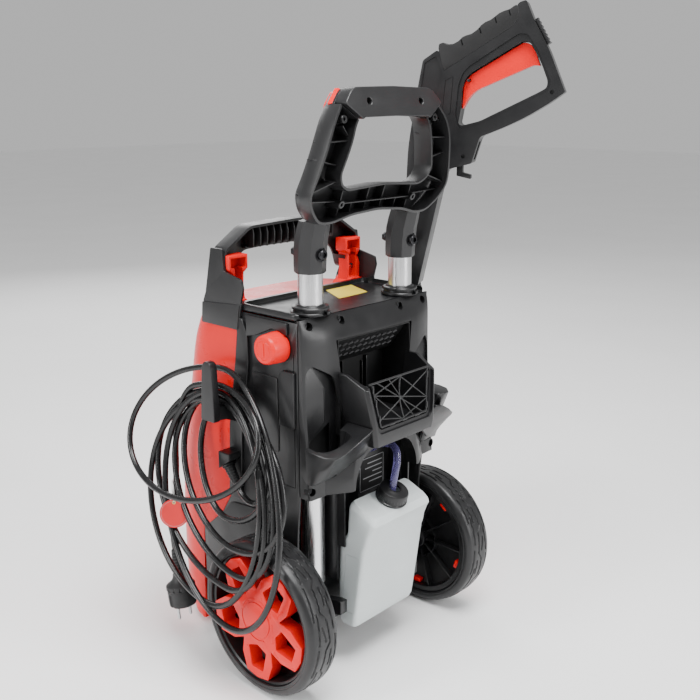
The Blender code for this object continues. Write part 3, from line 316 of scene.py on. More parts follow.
def skin(bm, rows, closed=True, joined=False):
    """Faces from each row of vertices to the next; `joined` ties the last row to the first."""
    count = len(rows[0])
    for here, after in zip(rows, rows[1:] + (rows[:1] if joined else [])):
        for i in range(count if closed else count - 1):
            j = (i + 1) % count
            bm.faces.new((here[i], here[j], after[j], after[i]))


def prism(name, outline, axis, low, high, holes=(), matrix=TO_FRAME):
    return as_object(prism_bm(outline, axis, low, high, holes), name, matrix)


def block(name, low, high, matrix=TO_FRAME):
    bm = bmesh.new()
    bmesh.ops.create_cube(bm, size=1.0)
    low, high = Vector(low), Vector(high)
    bmesh.ops.transform(bm, matrix=Matrix.Diagonal((high - low).to_4d()), verts=bm.verts)
    bmesh.ops.translate(bm, vec=(low + high) / 2, verts=bm.verts)
    return as_object(bm, name, matrix)


def rod(name, start, end, radius, sides=48, end_radius=None, matrix=TO_FRAME):
    """A cylinder or cone between two points."""
    start, end = Vector(start), Vector(end)
    bm = bmesh.new()
    bmesh.ops.create_cone(bm, cap_ends=True, segments=sides, radius1=radius,
                          radius2=radius if end_radius is None else end_radius,
                          depth=(end - start).length)
    turn = (end - start).to_track_quat("Z", "Y").to_matrix().to_4x4()
    bmesh.ops.transform(bm, matrix=Matrix.Translation((start + end) / 2) @ turn, verts=bm.verts)
    return as_object(bm, name, matrix)


def turned(name, profile, centre=(0, 0, 0), axis="x", steps=96, matrix=TO_FRAME):
    """A closed ring: a closed (radius, along) outline swept round an axis through centre."""
    bm = bmesh.new()
    rows = []
    for k in range(steps):
        a = math.tau * k / steps
        c, s = math.cos(a), math.sin(a)
        ring = []
        for r, along in profile:
            p = {"x": (along, r * c, r * s), "y": (r * c, along, r * s), "z": (r * c, r * s, along)}
            ring.append(bm.verts.new(Vector(p[axis]) + Vector(centre)))
        rows.append(ring)
    skin(bm, rows, joined=True)
    bmesh.ops.remove_doubles(bm, verts=bm.verts, dist=1e-6)
    return as_object(bm, name, matrix)


def loft(name, rings, matrix=TO_FRAME, closed=True, caps=True):
    """Faces between rings of points, with the same count in each."""
    bm = bmesh.new()
    rows = [[bm.verts.new(p) for p in ring] for ring in rings]
    skin(bm, rows, closed)
    if caps:
        bm.faces.new(rows[0])
        bm.faces.new(rows[-1])
    return as_object(bm, name, matrix)


def boolean(obj, other, operation):
    change = obj.modifiers.new("cut", "BOOLEAN")
    change.operation = operation
    change.solver = "EXACT"
    change.object = other
    other.hide_render = True
    return obj


def cut(obj, *cutters):
    for cutter in cutters:
        boolean(obj, cutter, "DIFFERENCE")
    return obj


def join(obj, *others):
    for other in others:
        boolean(obj, other, "UNION")
    return obj


def bevel(obj, width, segments=3, angle=32.0):
    edges = obj.modifiers.new("edges", "BEVEL")
    edges.width = width
    edges.segments = segments
    edges.limit_method = "ANGLE"
    edges.angle_limit = math.radians(angle)
    edges.harden_normals = False
    edges.use_clamp_overlap = True
    return obj


def bake(obj):
    """Turns the object's modifiers into its mesh, and removes the cutters that it used."""
    bpy.context.view_layer.update()
    used = [m.object for m in obj.modifiers if m.type == "BOOLEAN"]
    done = obj.evaluated_get(bpy.context.evaluated_depsgraph_get())
    mesh = bpy.data.meshes.new_from_object(done)
    obj.modifiers.clear()
    obj.data = mesh
    for cutter in used:
        bpy.data.objects.remove(cutter, do_unlink=True)
    mesh.shade_smooth()
    return obj


def sharp(obj, angle=32.0):
    obj.data.set_sharp_from_angle(angle=math.radians(angle))
    return obj


def shown(obj, look, body, slot, *nodes):
    """Bakes a finished piece, gives it its material and the body it rides on, and hides the CAD nodes it
    stands for.
    """
    bake(obj)
    sharp(obj)
    obj.data.materials.clear()
    obj.data.materials.append(look)
    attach(obj, body)
    if nodes:
        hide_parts(*nodes)
    return obj


def black(obj, *nodes):
    """A black moulding that rides on the machine."""
    return shown(obj, BLACK, "machine", "black_plastic", *nodes)


def smooth_path(points, spacing):
    """Evenly spaced points along a smooth curve through the given ones."""
    points = [Vector(p) for p in points]
    ends = [2 * points[0] - points[1]] + points + [2 * points[-1] - points[-2]]
    fine = []
    for i in range(1, len(ends) - 2):
        p0, p1, p2, p3 = ends[i - 1:i + 3]
        for k in range(16):
            t = k / 16
            fine.append(0.5 * (2 * p1 + (p2 - p0) * t + (2 * p0 - 5 * p1 + 4 * p2 - p3) * t * t
                               + (3 * p1 - p0 - 3 * p2 + p3) * t ** 3))
    fine.append(points[-1])
    run = [0.0]
    for a, b in zip(fine, fine[1:]):
        run.append(run[-1] + (b - a).length)
    count = max(2, round(run[-1] / spacing) + 1)
    out, place = [], 0
    for k in range(count):
        want = run[-1] * k / (count - 1)
        while place < len(run) - 2 and run[place + 1] < want:
            place += 1
        part = (want - run[place]) / max(1e-9, run[place + 1] - run[place])
        out.append(fine[place].lerp(fine[place + 1], part))
    return out, run[-1]


def tube(name, points, radius, resolution=3, matrix=TO_FRAME):
    curve = bpy.data.curves.new(name, "CURVE")
    curve.dimensions = "3D"
    curve.bevel_depth = radius
    curve.bevel_resolution = resolution
    curve.use_fill_caps = True
    spline = curve.splines.new("POLY")
    spline.points.add(len(points) - 1)
    for point, place in zip(spline.points, points):
        point.co = (*place, 1.0)
        point.radius = 1.0
    spline.use_smooth = True
    return linked(name, curve, matrix)


# Camera, floor and lights

CAMERA_AT = Vector((0.86297, 0.78597, 0.72069))
CAMERA_AZIMUTH = math.radians(132.6)
CAMERA_ELEVATION = math.radians(14.926)
LENS = 48.44
SENSOR = 36.0


def camera():
    data = bpy.data.cameras.new("camera")
    data.lens = LENS
    data.sensor_width = SENSOR
    data.clip_start = 0.05
    data.clip_end = 60.0
    eye = linked("camera", data)
    level = math.cos(CAMERA_ELEVATION)
    back = Vector((math.sin(CAMERA_AZIMUTH) * level, -math.cos(CAMERA_AZIMUTH) * level,
                   math.sin(CAMERA_ELEVATION)))
    eye.location = CAMERA_AT + SHIFT
    eye.rotation_euler = back.to_track_quat("Z", "Y").to_euler()
    bpy.context.scene.camera = eye


def floor():
    bm = bmesh.new()
    bmesh.ops.create_grid(bm, x_segments=2, y_segments=2, size=12.0)
    ground = as_object(bm, "floor", Matrix.Translation((0, 0, -0.0004)))
    material, tree, shader = new_material("pale_floor", (0.93, 0.93, 0.93), 0.6)
    tree.links.new(tint(tree, noise(tree, 3.0), (0.92, 0.92, 0.92), (0.95, 0.95, 0.95)),
                   shader.inputs["Base Color"])
    ground.data.materials.append(material)


def softbox(name, place, aim, size, power):
    data = bpy.data.lights.new(name, "AREA")
    data.shape = "RECTANGLE"
    data.size, data.size_y = size
    data.energy = power
    lamp = linked(name, data)
    lamp.location = Vector(place) + SHIFT
    lamp.rotation_euler = (Vector(place) - Vector(aim)).to_track_quat("Z", "Y").to_euler()


def lights():
    world = bpy.data.worlds.new("studio")
    bpy.context.scene.world = world
    world.use_nodes = True
    sky = world.node_tree.nodes["Background"]
    sky.inputs["Color"].default_value = (1.0, 1.0, 1.0, 1.0)
    sky.inputs["Strength"].default_value = 0.56
    softbox("top_light", (0.25, 0.55, 2.2), (0, 0, 0.4), (1.2, 1.0), 74.0)
    softbox("left_light", (2.2, -0.6, 1.4), (0, 0, 0.35), (0.5, 1.8), 50.0)
    softbox("rear_light", (-0.6, 2.4, 1.2), (0, 0, 0.35), (0.45, 1.7), 44.0)
    softbox("front_light", (-1.2, -2.2, 1.5), (0, 0, 0.35), (1.4, 1.6), 26.0)


# Mains lead

LEAD_ROUTE = mm((134.5, -100.2, 272.5), (134.5, -90.8, 259), (134.7, -85, 250.8), (135.2, -78, 241.5),
                (136.5, -66.5, 231.8), (138.5, -51.5, 228), (140.5, -36.5, 231.8), (142.5, -24.5, 241.5),
                (144, -18, 256), (145, -16.5, 276), (146, -16.5, 296), (144, -21, 315), (140.5, -30, 333),
                (137, -44, 348), (134, -62, 356.5))
HOOK_Y = -0.092
# Where the lead crosses the hook's arm each time, in (x, z)
CROSSINGS = mm((130.5, 357), (130.5, 366.2), (138.8, 357), (139, 366.4), (147.2, 357.2), (147.5, 366.8),
               (140, 396), (149, 377))
# Each turn's lowest point, and how far it swings out to the front and to the rear
TURNS = (((0.169, -0.06, 0.214), -0.128, 0.002),
         ((0.186, -0.029, 0.188), -0.15, 0.04),
         ((0.191, -0.019, 0.157), -0.162, 0.026),
         ((0.1955, -0.034, 0.138), -0.196, 0.018),
         ((0.201, -0.067, 0.107), -0.205, 0.012),
         ((0.2065, -0.019, 0.094), -0.168, 0.046),
         ((0.202, -0.14, 0.233), -0.236, 0.004))
TAIL_ROUTE = mm((148, -133.5, 369), (149, -155, 357), (152, -170, 330), (156, -176, 290),
                (159, -175.5, 240), (162, -178, 190), (164.5, -181.5, 148), (165, -178.7, 130.7))
POINTS_A_TURN = 20


def turn_point(turn, part):
    """A point on one hanging turn: down its front side, round the bottom and up its rear side."""
    (low_x, low_y, low_z), front, rear = TURNS[turn]
    x, z = CROSSINGS[turn if part < 0.5 else turn + 1]
    angle = math.tau * part
    drop = (1 - math.cos(angle)) / 2
    middle = (HOOK_Y + low_y) / 2
    swing = (front if part < 0.5 else rear) - middle
    return Vector((x + (low_x - x) * drop ** 0.75,
                   HOOK_Y + (low_y - HOOK_Y) * drop + swing * abs(math.sin(angle)),
                   z + (low_z - z) * drop))


def cord_route():
    points = list(LEAD_ROUTE)
    for turn in range(len(TURNS)):
        points += [turn_point(turn, k / POINTS_A_TURN) for k in range(POINTS_A_TURN)]
    x, z = CROSSINGS[-1]
    points.append((x, HOOK_Y, z))
    return smooth_path(points + TAIL_ROUTE, 0.006)


def mains_lead():
    points, length = cord_route()
    lead = tube("mains_lead", points, CORD_R, 3)
    lead.data.materials.append(SHEATH)
    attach(lead, "machine")
    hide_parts("cord_lead", "cord_coil", "cord_loop", "cord_tail")
    plug() + tag()


# Transport handle

def dense(points, spacing=0.006):
    """The same closed outline with extra points along its long edges."""
    out = []
    for a, b in zip(points, points[1:] + points[:1]):
        steps = max(1, round((Vector(b) - Vector(a)).length / spacing))
        out += [tuple(Vector(a).lerp(Vector(b), k / steps)) for k in range(steps)]
    return out


def inset(points, distance):
    """The outline moved inwards by a distance; a negative one moves it outwards."""
    area = sum(a[0] * b[1] - a[1] * b[0] for a, b in zip(points, points[1:] + points[:1]))
    turn = 1.0 if area > 0 else -1.0
    out = []
    for i, here in enumerate(points):
        p, a, b = Vector(here), Vector(points[i - 1]), Vector(points[(i + 1) % len(points)])
        along = ((p - a).normalized() + (b - p).normalized()).normalized()
        out.append(tuple(p + Vector((-along.y, along.x)) * turn * distance))
    return out


def slice_levels(obj, low, high, step):
    """Cuts level lines into a mesh, so that it can bend smoothly."""
    bm = bmesh.new()
    bm.from_mesh(obj.data)
    z = low
    while z < high:
        bmesh.ops.bisect_plane(bm, geom=bm.verts[:] + bm.edges[:] + bm.faces[:],
                               plane_co=(0, 0, z), plane_no=(0, 0, 1), dist=1e-6)
        z += step
    bm.to_mesh(obj.data)
    bm.free()
    return obj


def smoothed(table, x):
    """Reads a table as a smooth curve through its entries."""
    xs = [a for a, _ in table]
    ys = [b for _, b in table]
    if x <= xs[0]:
        return ys[0]
    if x >= xs[-1]:
        return ys[-1]
    i = next(k for k in range(len(xs) - 1) if x <= xs[k + 1])
    t = (x - xs[i]) / (xs[i + 1] - xs[i])
    slopes = []
    for k in (i, i + 1):
        a, b = max(0, k - 1), min(len(xs) - 1, k + 1)
        slopes.append((ys[b] - ys[a]) / (xs[b] - xs[a]) * (xs[i + 1] - xs[i]))
    return ((2 * t ** 3 - 3 * t * t + 1) * ys[i] + (t ** 3 - 2 * t * t + t) * slopes[0]
            + (3 * t * t - 2 * t ** 3) * ys[i + 1] + (t ** 3 - t * t) * slopes[1])


HANDLE_LEAN = mm((575, 16), (600, 27), (642, 41), (690, 48.5), (735, 40))


def lean_back(obj, step=0.008):
    """Shears a piece of the handle loop back along the loop's own curve."""
    slice_levels(obj, 0.576, 0.735, step)
    for vert in obj.data.vertices:
        vert.co.y += smoothed(HANDLE_LEAN, vert.co.z)
    return obj


def loop_outer():
    half = mm((0, 591.5), (46, 588), (76, 580.5), (98, 581.5), (116, 597), (126, 615), (118.5, 643),
              (108.5, 680), (101, 698), (87, 716), (70, 733), (0, 735))
    return rounded(mirrored(half), 0.009, 4)


def loop_inner():
    half = mm((0, 625), (64, 621), (76, 627), (81, 638), (70, 675), (66, 690), (60, 700), (0, 702))
    return rounded(mirrored(half), 0.005, 4)


HANDLE_DEPTH = 0.0145
CHANNEL_FLOOR = -0.01
RIB_FOOT = CHANNEL_FLOOR - 0.001


def handle_channel():
    """The open space at the loop's rear, between its outer and inner walls, below the grip."""
    outer = inset(loop_outer(), 0.003)
    inner = inset(loop_inner(), -0.0026)
    space = prism("handle_channel", outer, "y", CHANNEL_FLOOR, HANDLE_DEPTH + 0.01, [inner])
    top = mirrored(mm((0, 695), (57, 695), (59, 696), (88, 715), (130, 743), (130, 800), (0, 800)))
    return bake(cut(space, prism("channel_top", top, "y", -0.05, 0.05)))


def rib_between(a, b, thick=0.0014):
    """The outline of a thin wall from a to b."""
    a, b = Vector(a), Vector(b)
    side = Vector((-(b - a).y, (b - a).x)).normalized() * thick / 2
    return [tuple(p) for p in (a + side, b + side, b - side, a - side)]


def handle_ribs():
    """The stiffening ribs and screw bosses in the loop's open rear."""
    lines = []
    for s in (1, -1):
        lines += [((s * 0.08, 0.692), (s * 0.0695, 0.679), 0.007),
                  ((s * 0.0885, 0.6975), (s * 0.0985, 0.695), 0.006),
                  ((s * 0.0725, 0.6755), (s * 0.108, 0.6745), 0.008),
                  ((s * 0.0795, 0.648), (s * 0.115, 0.656), 0.004),
                  ((s * 0.082, 0.63), (s * 0.122, 0.618), 0.008),
                  ((s * 0.062, 0.62), (s * 0.062, 0.586), 0.005),
                  ((s * 0.069, 0.606), (s * 0.118, 0.6085), 0.003)]
    lines += [((-0.065, 0.6035), (0.065, 0.6035), 0.008), ((0.014, 0.6225), (0.014, 0.59), 0.003),
              ((-0.014, 0.6225), (-0.014, 0.59), 0.003), ((0.04, 0.6035), (0.04, 0.5885), 0.004),
              ((-0.04, 0.6035), (-0.04, 0.5885), 0.004)]
    ribs = []
    for i, (a, b, top) in enumerate(lines):
        rib = prism(f"handle_rib_{i}", rib_between(a, b), "y", RIB_FOOT, top)
        ribs.append(bevel(rib, 0.0003, 2))
    spots = [(s * 0.0813, 0.6992) for s in (1, -1)] + [(s * 0.065, 0.6025) for s in (1, -1)]
    for i, (x, z) in enumerate(spots):
        profile = [(0.0019, RIB_FOOT), (0.0052, RIB_FOOT), (0.0047, 0.011), (0.0042, 0.0116),
                   (0.0023, 0.0116), (0.0019, 0.011)]
        ribs.append(turned(f"handle_boss_{i}", profile, (x, 0, z), "y", 32))
    for piece in ribs:
        bake(piece)
    return ribs


def sleeve(side):
    """The eight-sided socket that a handle tube ends in."""
    x = side * TUBE_X
    rings = []
    for z, rx, ry, back in mm((522, 17.6, 17.6, 0), (523.2, 18.4, 18.4, 0), (532, 18.6, 18.8, 0),
                              (545, 18.6, 19.2, 0.5), (560, 18.4, 19.6, 2), (572, 18, 19.6, 5),
                              (584, 17.2, 19, 8.5)):
        ring = []
        for k in range(40):
            t = math.tau * k / 40
            off = t % (math.pi / 4) - math.pi / 8
            flat = 1.045 * math.cos(math.pi / 8) / math.cos(off) if z > 0.5225 else 1.0
            ring.append((x + rx * math.cos(t) * flat, TUBE_Y + back + ry * math.sin(t) * flat, z))
        rings.append(ring)
    body = loft(f"sleeve_{side}", rings)
    bore = rod("sleeve_bore", (x, TUBE_Y, 0.50), (x, TUBE_Y, 0.56), TUBE_R + 0.0004, 64)
    seat = rod("bolt_seat", (x, 0.0225, BOLT_Z), (x, 0.04, BOLT_Z), 0.0086, 48)
    return bake(cut(body, bore, seat))


def keel(obj):
    """Slants the front half of the loop's walls inwards, which leaves a ridge round its sides."""
    bm = bmesh.new()
    bm.from_mesh(obj.data)
    bmesh.ops.bisect_plane(bm, geom=bm.verts[:] + bm.edges[:] + bm.faces[:], plane_co=(0, -0.001, 0),
                           plane_no=(0, 1, 0), dist=1e-6)
    middle = 0.66
    for vert in bm.verts:
        if vert.co.y < -0.014:
            x, z = vert.co.x, vert.co.z
            outside = abs(x) > 0.086 or z > 0.71 or z < 0.607
            grow = 0.962 if outside else 1.035
            vert.co.x, vert.co.z = x * grow, middle + (z - middle) * grow
    bm.to_mesh(obj.data)
    bm.free()
    return obj


def handle_frame():
    loop = prism("handle_loop", dense(loop_outer()), "y", -HANDLE_DEPTH, HANDLE_DEPTH,
                 [dense(loop_inner())])
    cut(keel(loop), handle_channel())
    rest = mirrored(mm((0, 690), (56, 690), (59, 696.8), (88, 716.2), (105, 730), (105, 760), (0, 760)))
    cut(loop, prism("cover_seat", rest, "y", 0.004, 0.03))
    bake(bevel(loop, 0.0013, 3))
    pieces = [lean_back(loop)]
    for piece in handle_ribs():
        pieces.append(lean_back(piece))
    pieces += [sleeve(1), sleeve(-1)]
    whole = merged("transport_handle", pieces)
    shown(whole, CHARCOAL, "transport_handle", "grey_plastic", "handle_frame")


GRIP_SCREW_X, GRIP_SCREW_Z = 0.0462, 0.7184


def grip_cover():
    """The rounded rear half of the grip, with two deep screw holes."""
    half = mm((0, 701.8), (56.5, 700.8), (60, 698.5), (86.2, 716.2), (70.2, 733.5), (0, 735.2))
    outline = rounded(mirrored(half), [0, 0.003, 0.002, 0.004, 0.009, 0, 0.009, 0.004, 0.002, 0.003], 4)
    cover = prism("grip_cover_skin", dense(outline), "y", 0.0035, 0.0212)
    for side in (1, -1):
        x = side * GRIP_SCREW_X
        cut(cover, rod("grip_screw_hole", (x, 0.008, GRIP_SCREW_Z), (x, 0.05, GRIP_SCREW_Z), 0.0038, 32))
    bake(bevel(cover, 0.0046, 6))
    lean_back(cover, 0.005)
    shown(cover, CHARCOAL, "transport_handle", "grey_plastic", "grip_cover")
    for side in (1, -1):
        y = smoothed(HANDLE_LEAN, GRIP_SCREW_Z) + 0.0085
        profile = [(0.0001, y), (0.0032, y), (0.003, y + 0.0014), (0.0012, y + 0.0016),
                   (0.001, y + 0.0008), (0.0001, y + 0.0008)]
        screw = turned(f"grip_screw_{side}", profile, (side * GRIP_SCREW_X, 0, GRIP_SCREW_Z), "y", 24)
        shown(screw, STEEL, "transport_handle", "steel")


def grip_front():
    """The red front of the grip, and the red strip that shows at each upper corner of the loop."""
    half = mm((0, 704.5), (58, 703.5), (66, 698), (86, 709.5), (83, 715), (69, 728.5), (0, 730))
    front = slab_of("grip_front", rounded(mirrored(half), 0.003, 4), -0.0163, -0.0125, 0.0014)
    shown(lean_back(front), RED, "transport_handle", "red_plastic")
    ridge = mm((87.2, 716), (71.2, 732.5), (70, 731.8), (69, 729), (85, 713))
    for side, word in SIDES:
        strip = slab_of("grip_strip", dense(flipped(side, ridge)), -0.006, 0.0006, 0.0003)
        shown(lean_back(strip), RED, "transport_handle", "red_plastic").name = f"grip_strip_{word}"


def slab_of(name, outline, low, high, width):
    return bake(bevel(prism(name, dense(outline), "y", low, high), width, 3, 30))


def handle_tube(side, word):
    """A clear-anodised tube with rolled-over ends."""
    x, low, high = side * TUBE_X, 0.1185, 0.559
    inner = TUBE_R - 0.0015
    profile = [(inner, low + 0.0004), (inner + 0.0004, low), (TUBE_R - 0.0004, low), (TUBE_R, low + 0.0004),
               (TUBE_R, high - 0.0004), (TUBE_R - 0.0004, high), (inner + 0.0004, high),
               (inner, high - 0.0004)]
    tube_piece = turned(f"handle_tube_skin_{word}", profile, (x, TUBE_Y, 0), "z", 96)
    for k in range(3):
        z = 0.30 + 0.045 * k
        dent = rod("detent_hole", (x, TUBE_Y - 0.03, z), (x, TUBE_Y, z), 0.0028, 24)
        cut(tube_piece, dent)
    shown(tube_piece, ALUMINIUM, "transport_handle", "handle_aluminium", f"handle_tube_{word}")


def sleeve_bolt(side, word):
    """A black socket-head bolt with its washer, and the nut at the other end."""
    x, z = side * TUBE_X, BOLT_Z
    shaft = rod("bolt_shaft", (x, -0.019, z), (x, 0.024, z), 0.0029, 24)
    head = turned("bolt_head", mm((0.1, 24), (6.4, 24), (6.7, 25), (6.4, 27.6), (5.2, 28.8),
                                  (0.1, 29)), (x, 0, z), "y", 48)
    cut(head, rod("socket", (x, 0.0262, z), (x, 0.031, z), 0.0036, 6))
    washer = turned("bolt_washer", mm((3, 22.8), (7.9, 22.8), (8, 23.6), (3, 24)), (x, 0, z), "y", 48)
    nut = bevel(rod("bolt_nut", (x, -0.0225, z), (x, -0.0165, z), 0.006, 6), 0.0004, 2)
    whole = merged(f"sleeve_bolt_skin_{word}", [bake(shaft), bake(head), bake(washer), bake(nut)])
    shown(whole, DARK_STEEL, "transport_handle", "steel", f"sleeve_bolt_{word}")


def transport_handle():
    handle_frame()
    grip_cover()
    grip_front()
    for side, word in SIDES:
        handle_tube(side, word)
        sleeve_bolt(side, word)


# Rear cover, bin and recess

COVER_MID = mm((250, 42), (310, 42), (353, 40.2), (402, 38.5), (436, 37.2), (446, 36.2), (455, 33.6),
               (462, 30), (468, 25.6), (471.2, 22.6))
COVER_CORNER = mm((250, 38), (310, 33), (353, 29), (402, 26.5), (450, 25.5), (464, 23.8), (471.2, 21.8))
RIM_PLAN = mm((120.8, 30, 315), (120.7, 48, 313.5), (119, 62, 311.5), (114, 74, 311.5), (104, 83, 319),
              (90, 88, 328), (72, 91.5, 338.5), (62, 87, 339), (62, 30, 339))
CREASE_PLAN = mm((120.8, 30, 270), (120.6, 40, 270), (117.5, 44, 271.5), (105, 48, 274), (86, 54.5, 281),
                 (72, 60.5, 290), (59, 68, 301), (48, 80, 320), (48, 30, 320))
# The cover's screws on the left side; the right side has the same
SCREWS = mm((55.2, 30, 463), (106.5, 24.5, 463), (116, 38.5, 260.5))


def cover_skin():
    levels = [0.25 + 0.017 * k for k in range(12)] + [0.445 + 0.003 * k for k in range(9)] + [0.4712]
    rings = []
    for z in levels:
        mid, corner = smoothed(COVER_MID, z), smoothed(COVER_CORNER, z)
        slope = (mid - 0.0022 - corner) / 0.029
        outer = [(0.1208, 0.0213), (0.1207, corner - 0.0032), (0.1198, corner - 0.001),
                 (0.1175, corner + 0.0002), (0.102, corner + 0.016 * slope),
                 (0.09, mid - 0.0032), (0.082, mid - 0.0018), (0.07, mid - 0.001),
                 (0.035, mid - 0.0003), (0.0, mid)]
        inner = [(0.0, mid - 0.0028), (0.082, mid - 0.0045), (0.115, max(0.0214, corner - 0.0028)),
                 (0.118, 0.0213)]
        ring = (outer + [(-x, y) for x, y in outer[-2::-1]] + [(-x, y) for x, y in inner[:0:-1]] + inner)
        rings.append([(x, y, z) for x, y in ring])
    return loft("rear_cover_skin", rings)


def lance_pocket(side):
    """A pocket's outside: from its slanted rim in to the crease above the skirt."""
    rings = []
    for part in (0.0, 0.25, 0.5, 0.75, 1.0):
        swell = 0.0022 * math.sin(math.pi * part)
        ring = []
        for a, b in zip(CREASE_PLAN, RIM_PLAN):
            x, y, z = Vector(a).lerp(Vector(b), part)
            ring.append((side * x, y - (swell if y > 0.031 else 0.0), z))
        rings.append(ring)
    pocket = loft(f"pocket_{side}", rings)
    return bake(bevel(pocket, 0.002, 4, 40))


def pocket_hollow(side):
    top = mm((116.5, 20.6), (116.5, 52), (112, 67), (102, 77), (88.5, 80), (80, 76), (76.5, 60),
             (76.5, 20.6))
    low = mm((116.5, 20.6), (116.5, 39), (111, 43), (102, 45), (92, 47), (85, 47), (79, 44), (78, 20.6))
    rings = [[(side * x, y, 0.273) for x, y in low], [(side * x, y, 0.348) for x, y in top]]
    return bake(bevel(loft(f"pocket_hollow_{side}", rings), 0.003, 3, 20))


def pocket_recess(side):
    """The rounded opening in the cover's face that leads down into a pocket."""
    outline = mm((116.5, 296), (116.5, 404), (108.5, 416.5), (76.5, 398.5), (70.5, 373), (62.5, 340),
                 (62.5, 296))
    ring = rounded(flipped(side, outline), [0.001, 0.012, 0.014, 0.01, 0.01, 0.004, 0.001], 5)
    return prism(f"pocket_recess_{side}", ring, "y", 0.0214, 0.047)


def pocket_back(side):
    """The panel behind a recess: its slanted lower edge leaves the pocket's dark opening."""
    outline = mm((118, 313), (118, 408), (109, 419), (74, 401), (69, 374), (60, 340), (60, 296), (78, 296),
                 (78, 339))
    panel = prism(f"pocket_back_{side}", flipped(side, outline), "y", 0.0232, 0.0246)
    low, high = span(side, 0.0854, 0.0866)
    rib = block("recess_rib", (low, 0.024, 0.341), (high, 0.0254, 0.385))
    bake(join(panel, rib))
    for vert in panel.data.vertices:
        vert.co.y += (0.118 - abs(vert.co.x)) * 0.125
    return panel


def pocket_liner(side):
    """The black wall deep in a pocket, in front of the handle tube."""
    outline = mm((119, 270), (119, 408), (109, 418), (70, 400), (60, 270))
    liner = prism(f"pocket_liner_{side}", flipped(side, outline), "y", 0.0206, 0.0219)
    low, high = span(side, 0.064, 0.1185)
    return join(liner, block("pocket_floor", (low, 0.021, 0.2705), (high, 0.034, 0.2725)))


def bin_box():
    """The bin's outside: walls that taper to the rear, with thick sloping rims."""
    rings = []
    for z, wide, narrow, rear in mm((312, 56.5, 56.2, 86.8), (322.5, 58.5, 58.2, 88),
                                    (350, 62.8, 61.8, 86.2), (405, 71.2, 70, 78.5)):
        plan = mirrored([(0.0, rear), (narrow - 0.004, rear), (narrow, rear - 0.0035),
                         (wide, 0.05), (wide, 0.03), (0.0, 0.03)])
        rings.append([(x, y, z) for x, y in plan])
    bin_block = loft("bin_box", rings)
    slope = mm((0, 401), (50, 401), (79, 386), (200, 386), (200, 500), (0, 500))
    cut(bin_block, prism("bin_slope", slope, "x", -0.1, 0.1))
    return bake(bevel(bake(bin_block), 0.0056, 6, 38))


def bin_inside():
    rings = []
    for z, wide, narrow, rear in ((0.3235, 0.0548, 0.0535, 0.0795), (0.442, 0.0716, 0.068, 0.068)):
        plan = mirrored([(0.0, rear), (narrow - 0.003, rear), (narrow, rear - 0.003), (wide, 0.044),
                         (wide, 0.01), (0.0, 0.01)])
        rings.append([(x, y, z) for x, y in plan])
    return bake(bevel(loft("bin_inside", rings), 0.0022, 3, 30))


def arch_hood():
    """The stiff arch under the bin, over the bottle's cap and hose."""
    foot = mirrored(mm((0, 320), (74, 320), (86, 300), (95, 270), (96.5, 250.2), (0, 250.2)))
    face = mirrored(mm((0, 320), (46, 320), (56, 300), (64, 270), (66, 250.2), (0, 250.2)))
    rings = [[(x, 0.0385, z) for x, z in foot], [(x, 0.0575, z) for x, z in face]]
    return bake(bevel(loft("arch_hood", rings), 0.0016, 4))


def arch_opening():
    half = mm((0, 299), (28, 298.5), (46, 290), (58, 268), (60.5, 250), (60.5, 230), (0, 230))
    return prism("arch_opening", rounded(mirrored(half), 0.01, 5), "y", 0.0, 0.12)


def rear_cover():
    cover = cover_skin()
    join(cover, lance_pocket(1), lance_pocket(-1), bin_box(), arch_hood())
    cut(cover, bin_inside())
    window = rounded(mirrored(mm((0, 333), (44, 333), (48.5, 337), (57.5, 388), (58.5, 430),
                                 (0, 430))), 0.002, 3)
    cut(cover, prism("grille_window", window, "y", 0.066, 0.12))
    lip = rounded(mirrored(mm((0, 328.5), (47, 328.5), (53, 334), (61.5, 387), (62, 430),
                              (0, 430))), 0.003, 3)
    lip_cut = prism("grille_lip", lip, "y", 0.0, 0.02)
    for vert in lip_cut.data.vertices:
        vert.co.y += 0.085 - (vert.co.z - 0.3285) * 0.138
    cut(cover, lip_cut)
    recess = rounded(mirrored(mm((0, 324.3), (56, 324.3), (63, 400), (66.4, 439), (0, 440.5))), 0.003, 4)
    cut(cover, prism("recess_window", recess, "y", 0.0, 0.044))
    for side in (1, -1):
        cut(cover, pocket_recess(side), pocket_hollow(side))
    cut(cover, arch_opening())
    for x, y, z in SCREWS:
        for side in (1, -1):
            cut(cover, rod("screw_recess", (side * x, y - 0.007, z), (side * x, y + 0.03, z), 0.005, 40))
    bake(cover)
    black(bevel(cover, 0.0009, 3, 40), "rear_cover")
    for side, word in SIDES:
        black(bevel(pocket_back(side), 0.0004, 2)).name = f"pocket_back_{word}"
        # The liner's darker, duller plastic is painted shade deep in the pocket.
        shown(pocket_liner(side), SHADE_AND_LABEL_DARK, "machine", "black_plastic").name = f"pocket_liner_{word}"
    heads, cups = [], []
    for x, y, z in SCREWS:
        for side in (1, -1):
            profile = [(0.0001, y - 0.0072), (0.0012, y - 0.0072), (0.0016, y - 0.006), (0.0034, y - 0.0056),
                       (0.0043, y - 0.0066), (0.0043, y - 0.0088), (0.0001, y - 0.0088)]
            heads.append(turned("cover_screw", profile, (side * x, 0, z), "y", 32))
            wall = [(0.0001, y - 0.0098), (0.0061, y - 0.0098), (0.0061, y - 0.0016), (0.005, y - 0.0016),
                    (0.005, y - 0.009), (0.0001, y - 0.009)]
            cups.append(turned("screw_cup", wall, (side * x, 0, z), "y", 40))
    shown(merged("cover_screws", heads), DARK_STEEL, "machine", "steel")
    # The cups behind the screw heads take the darker, duller plastic as painted shade in the screw recesses.
    shown(merged("screw_cups", cups), SHADE_AND_LABEL_DARK, "machine", "black_plastic")


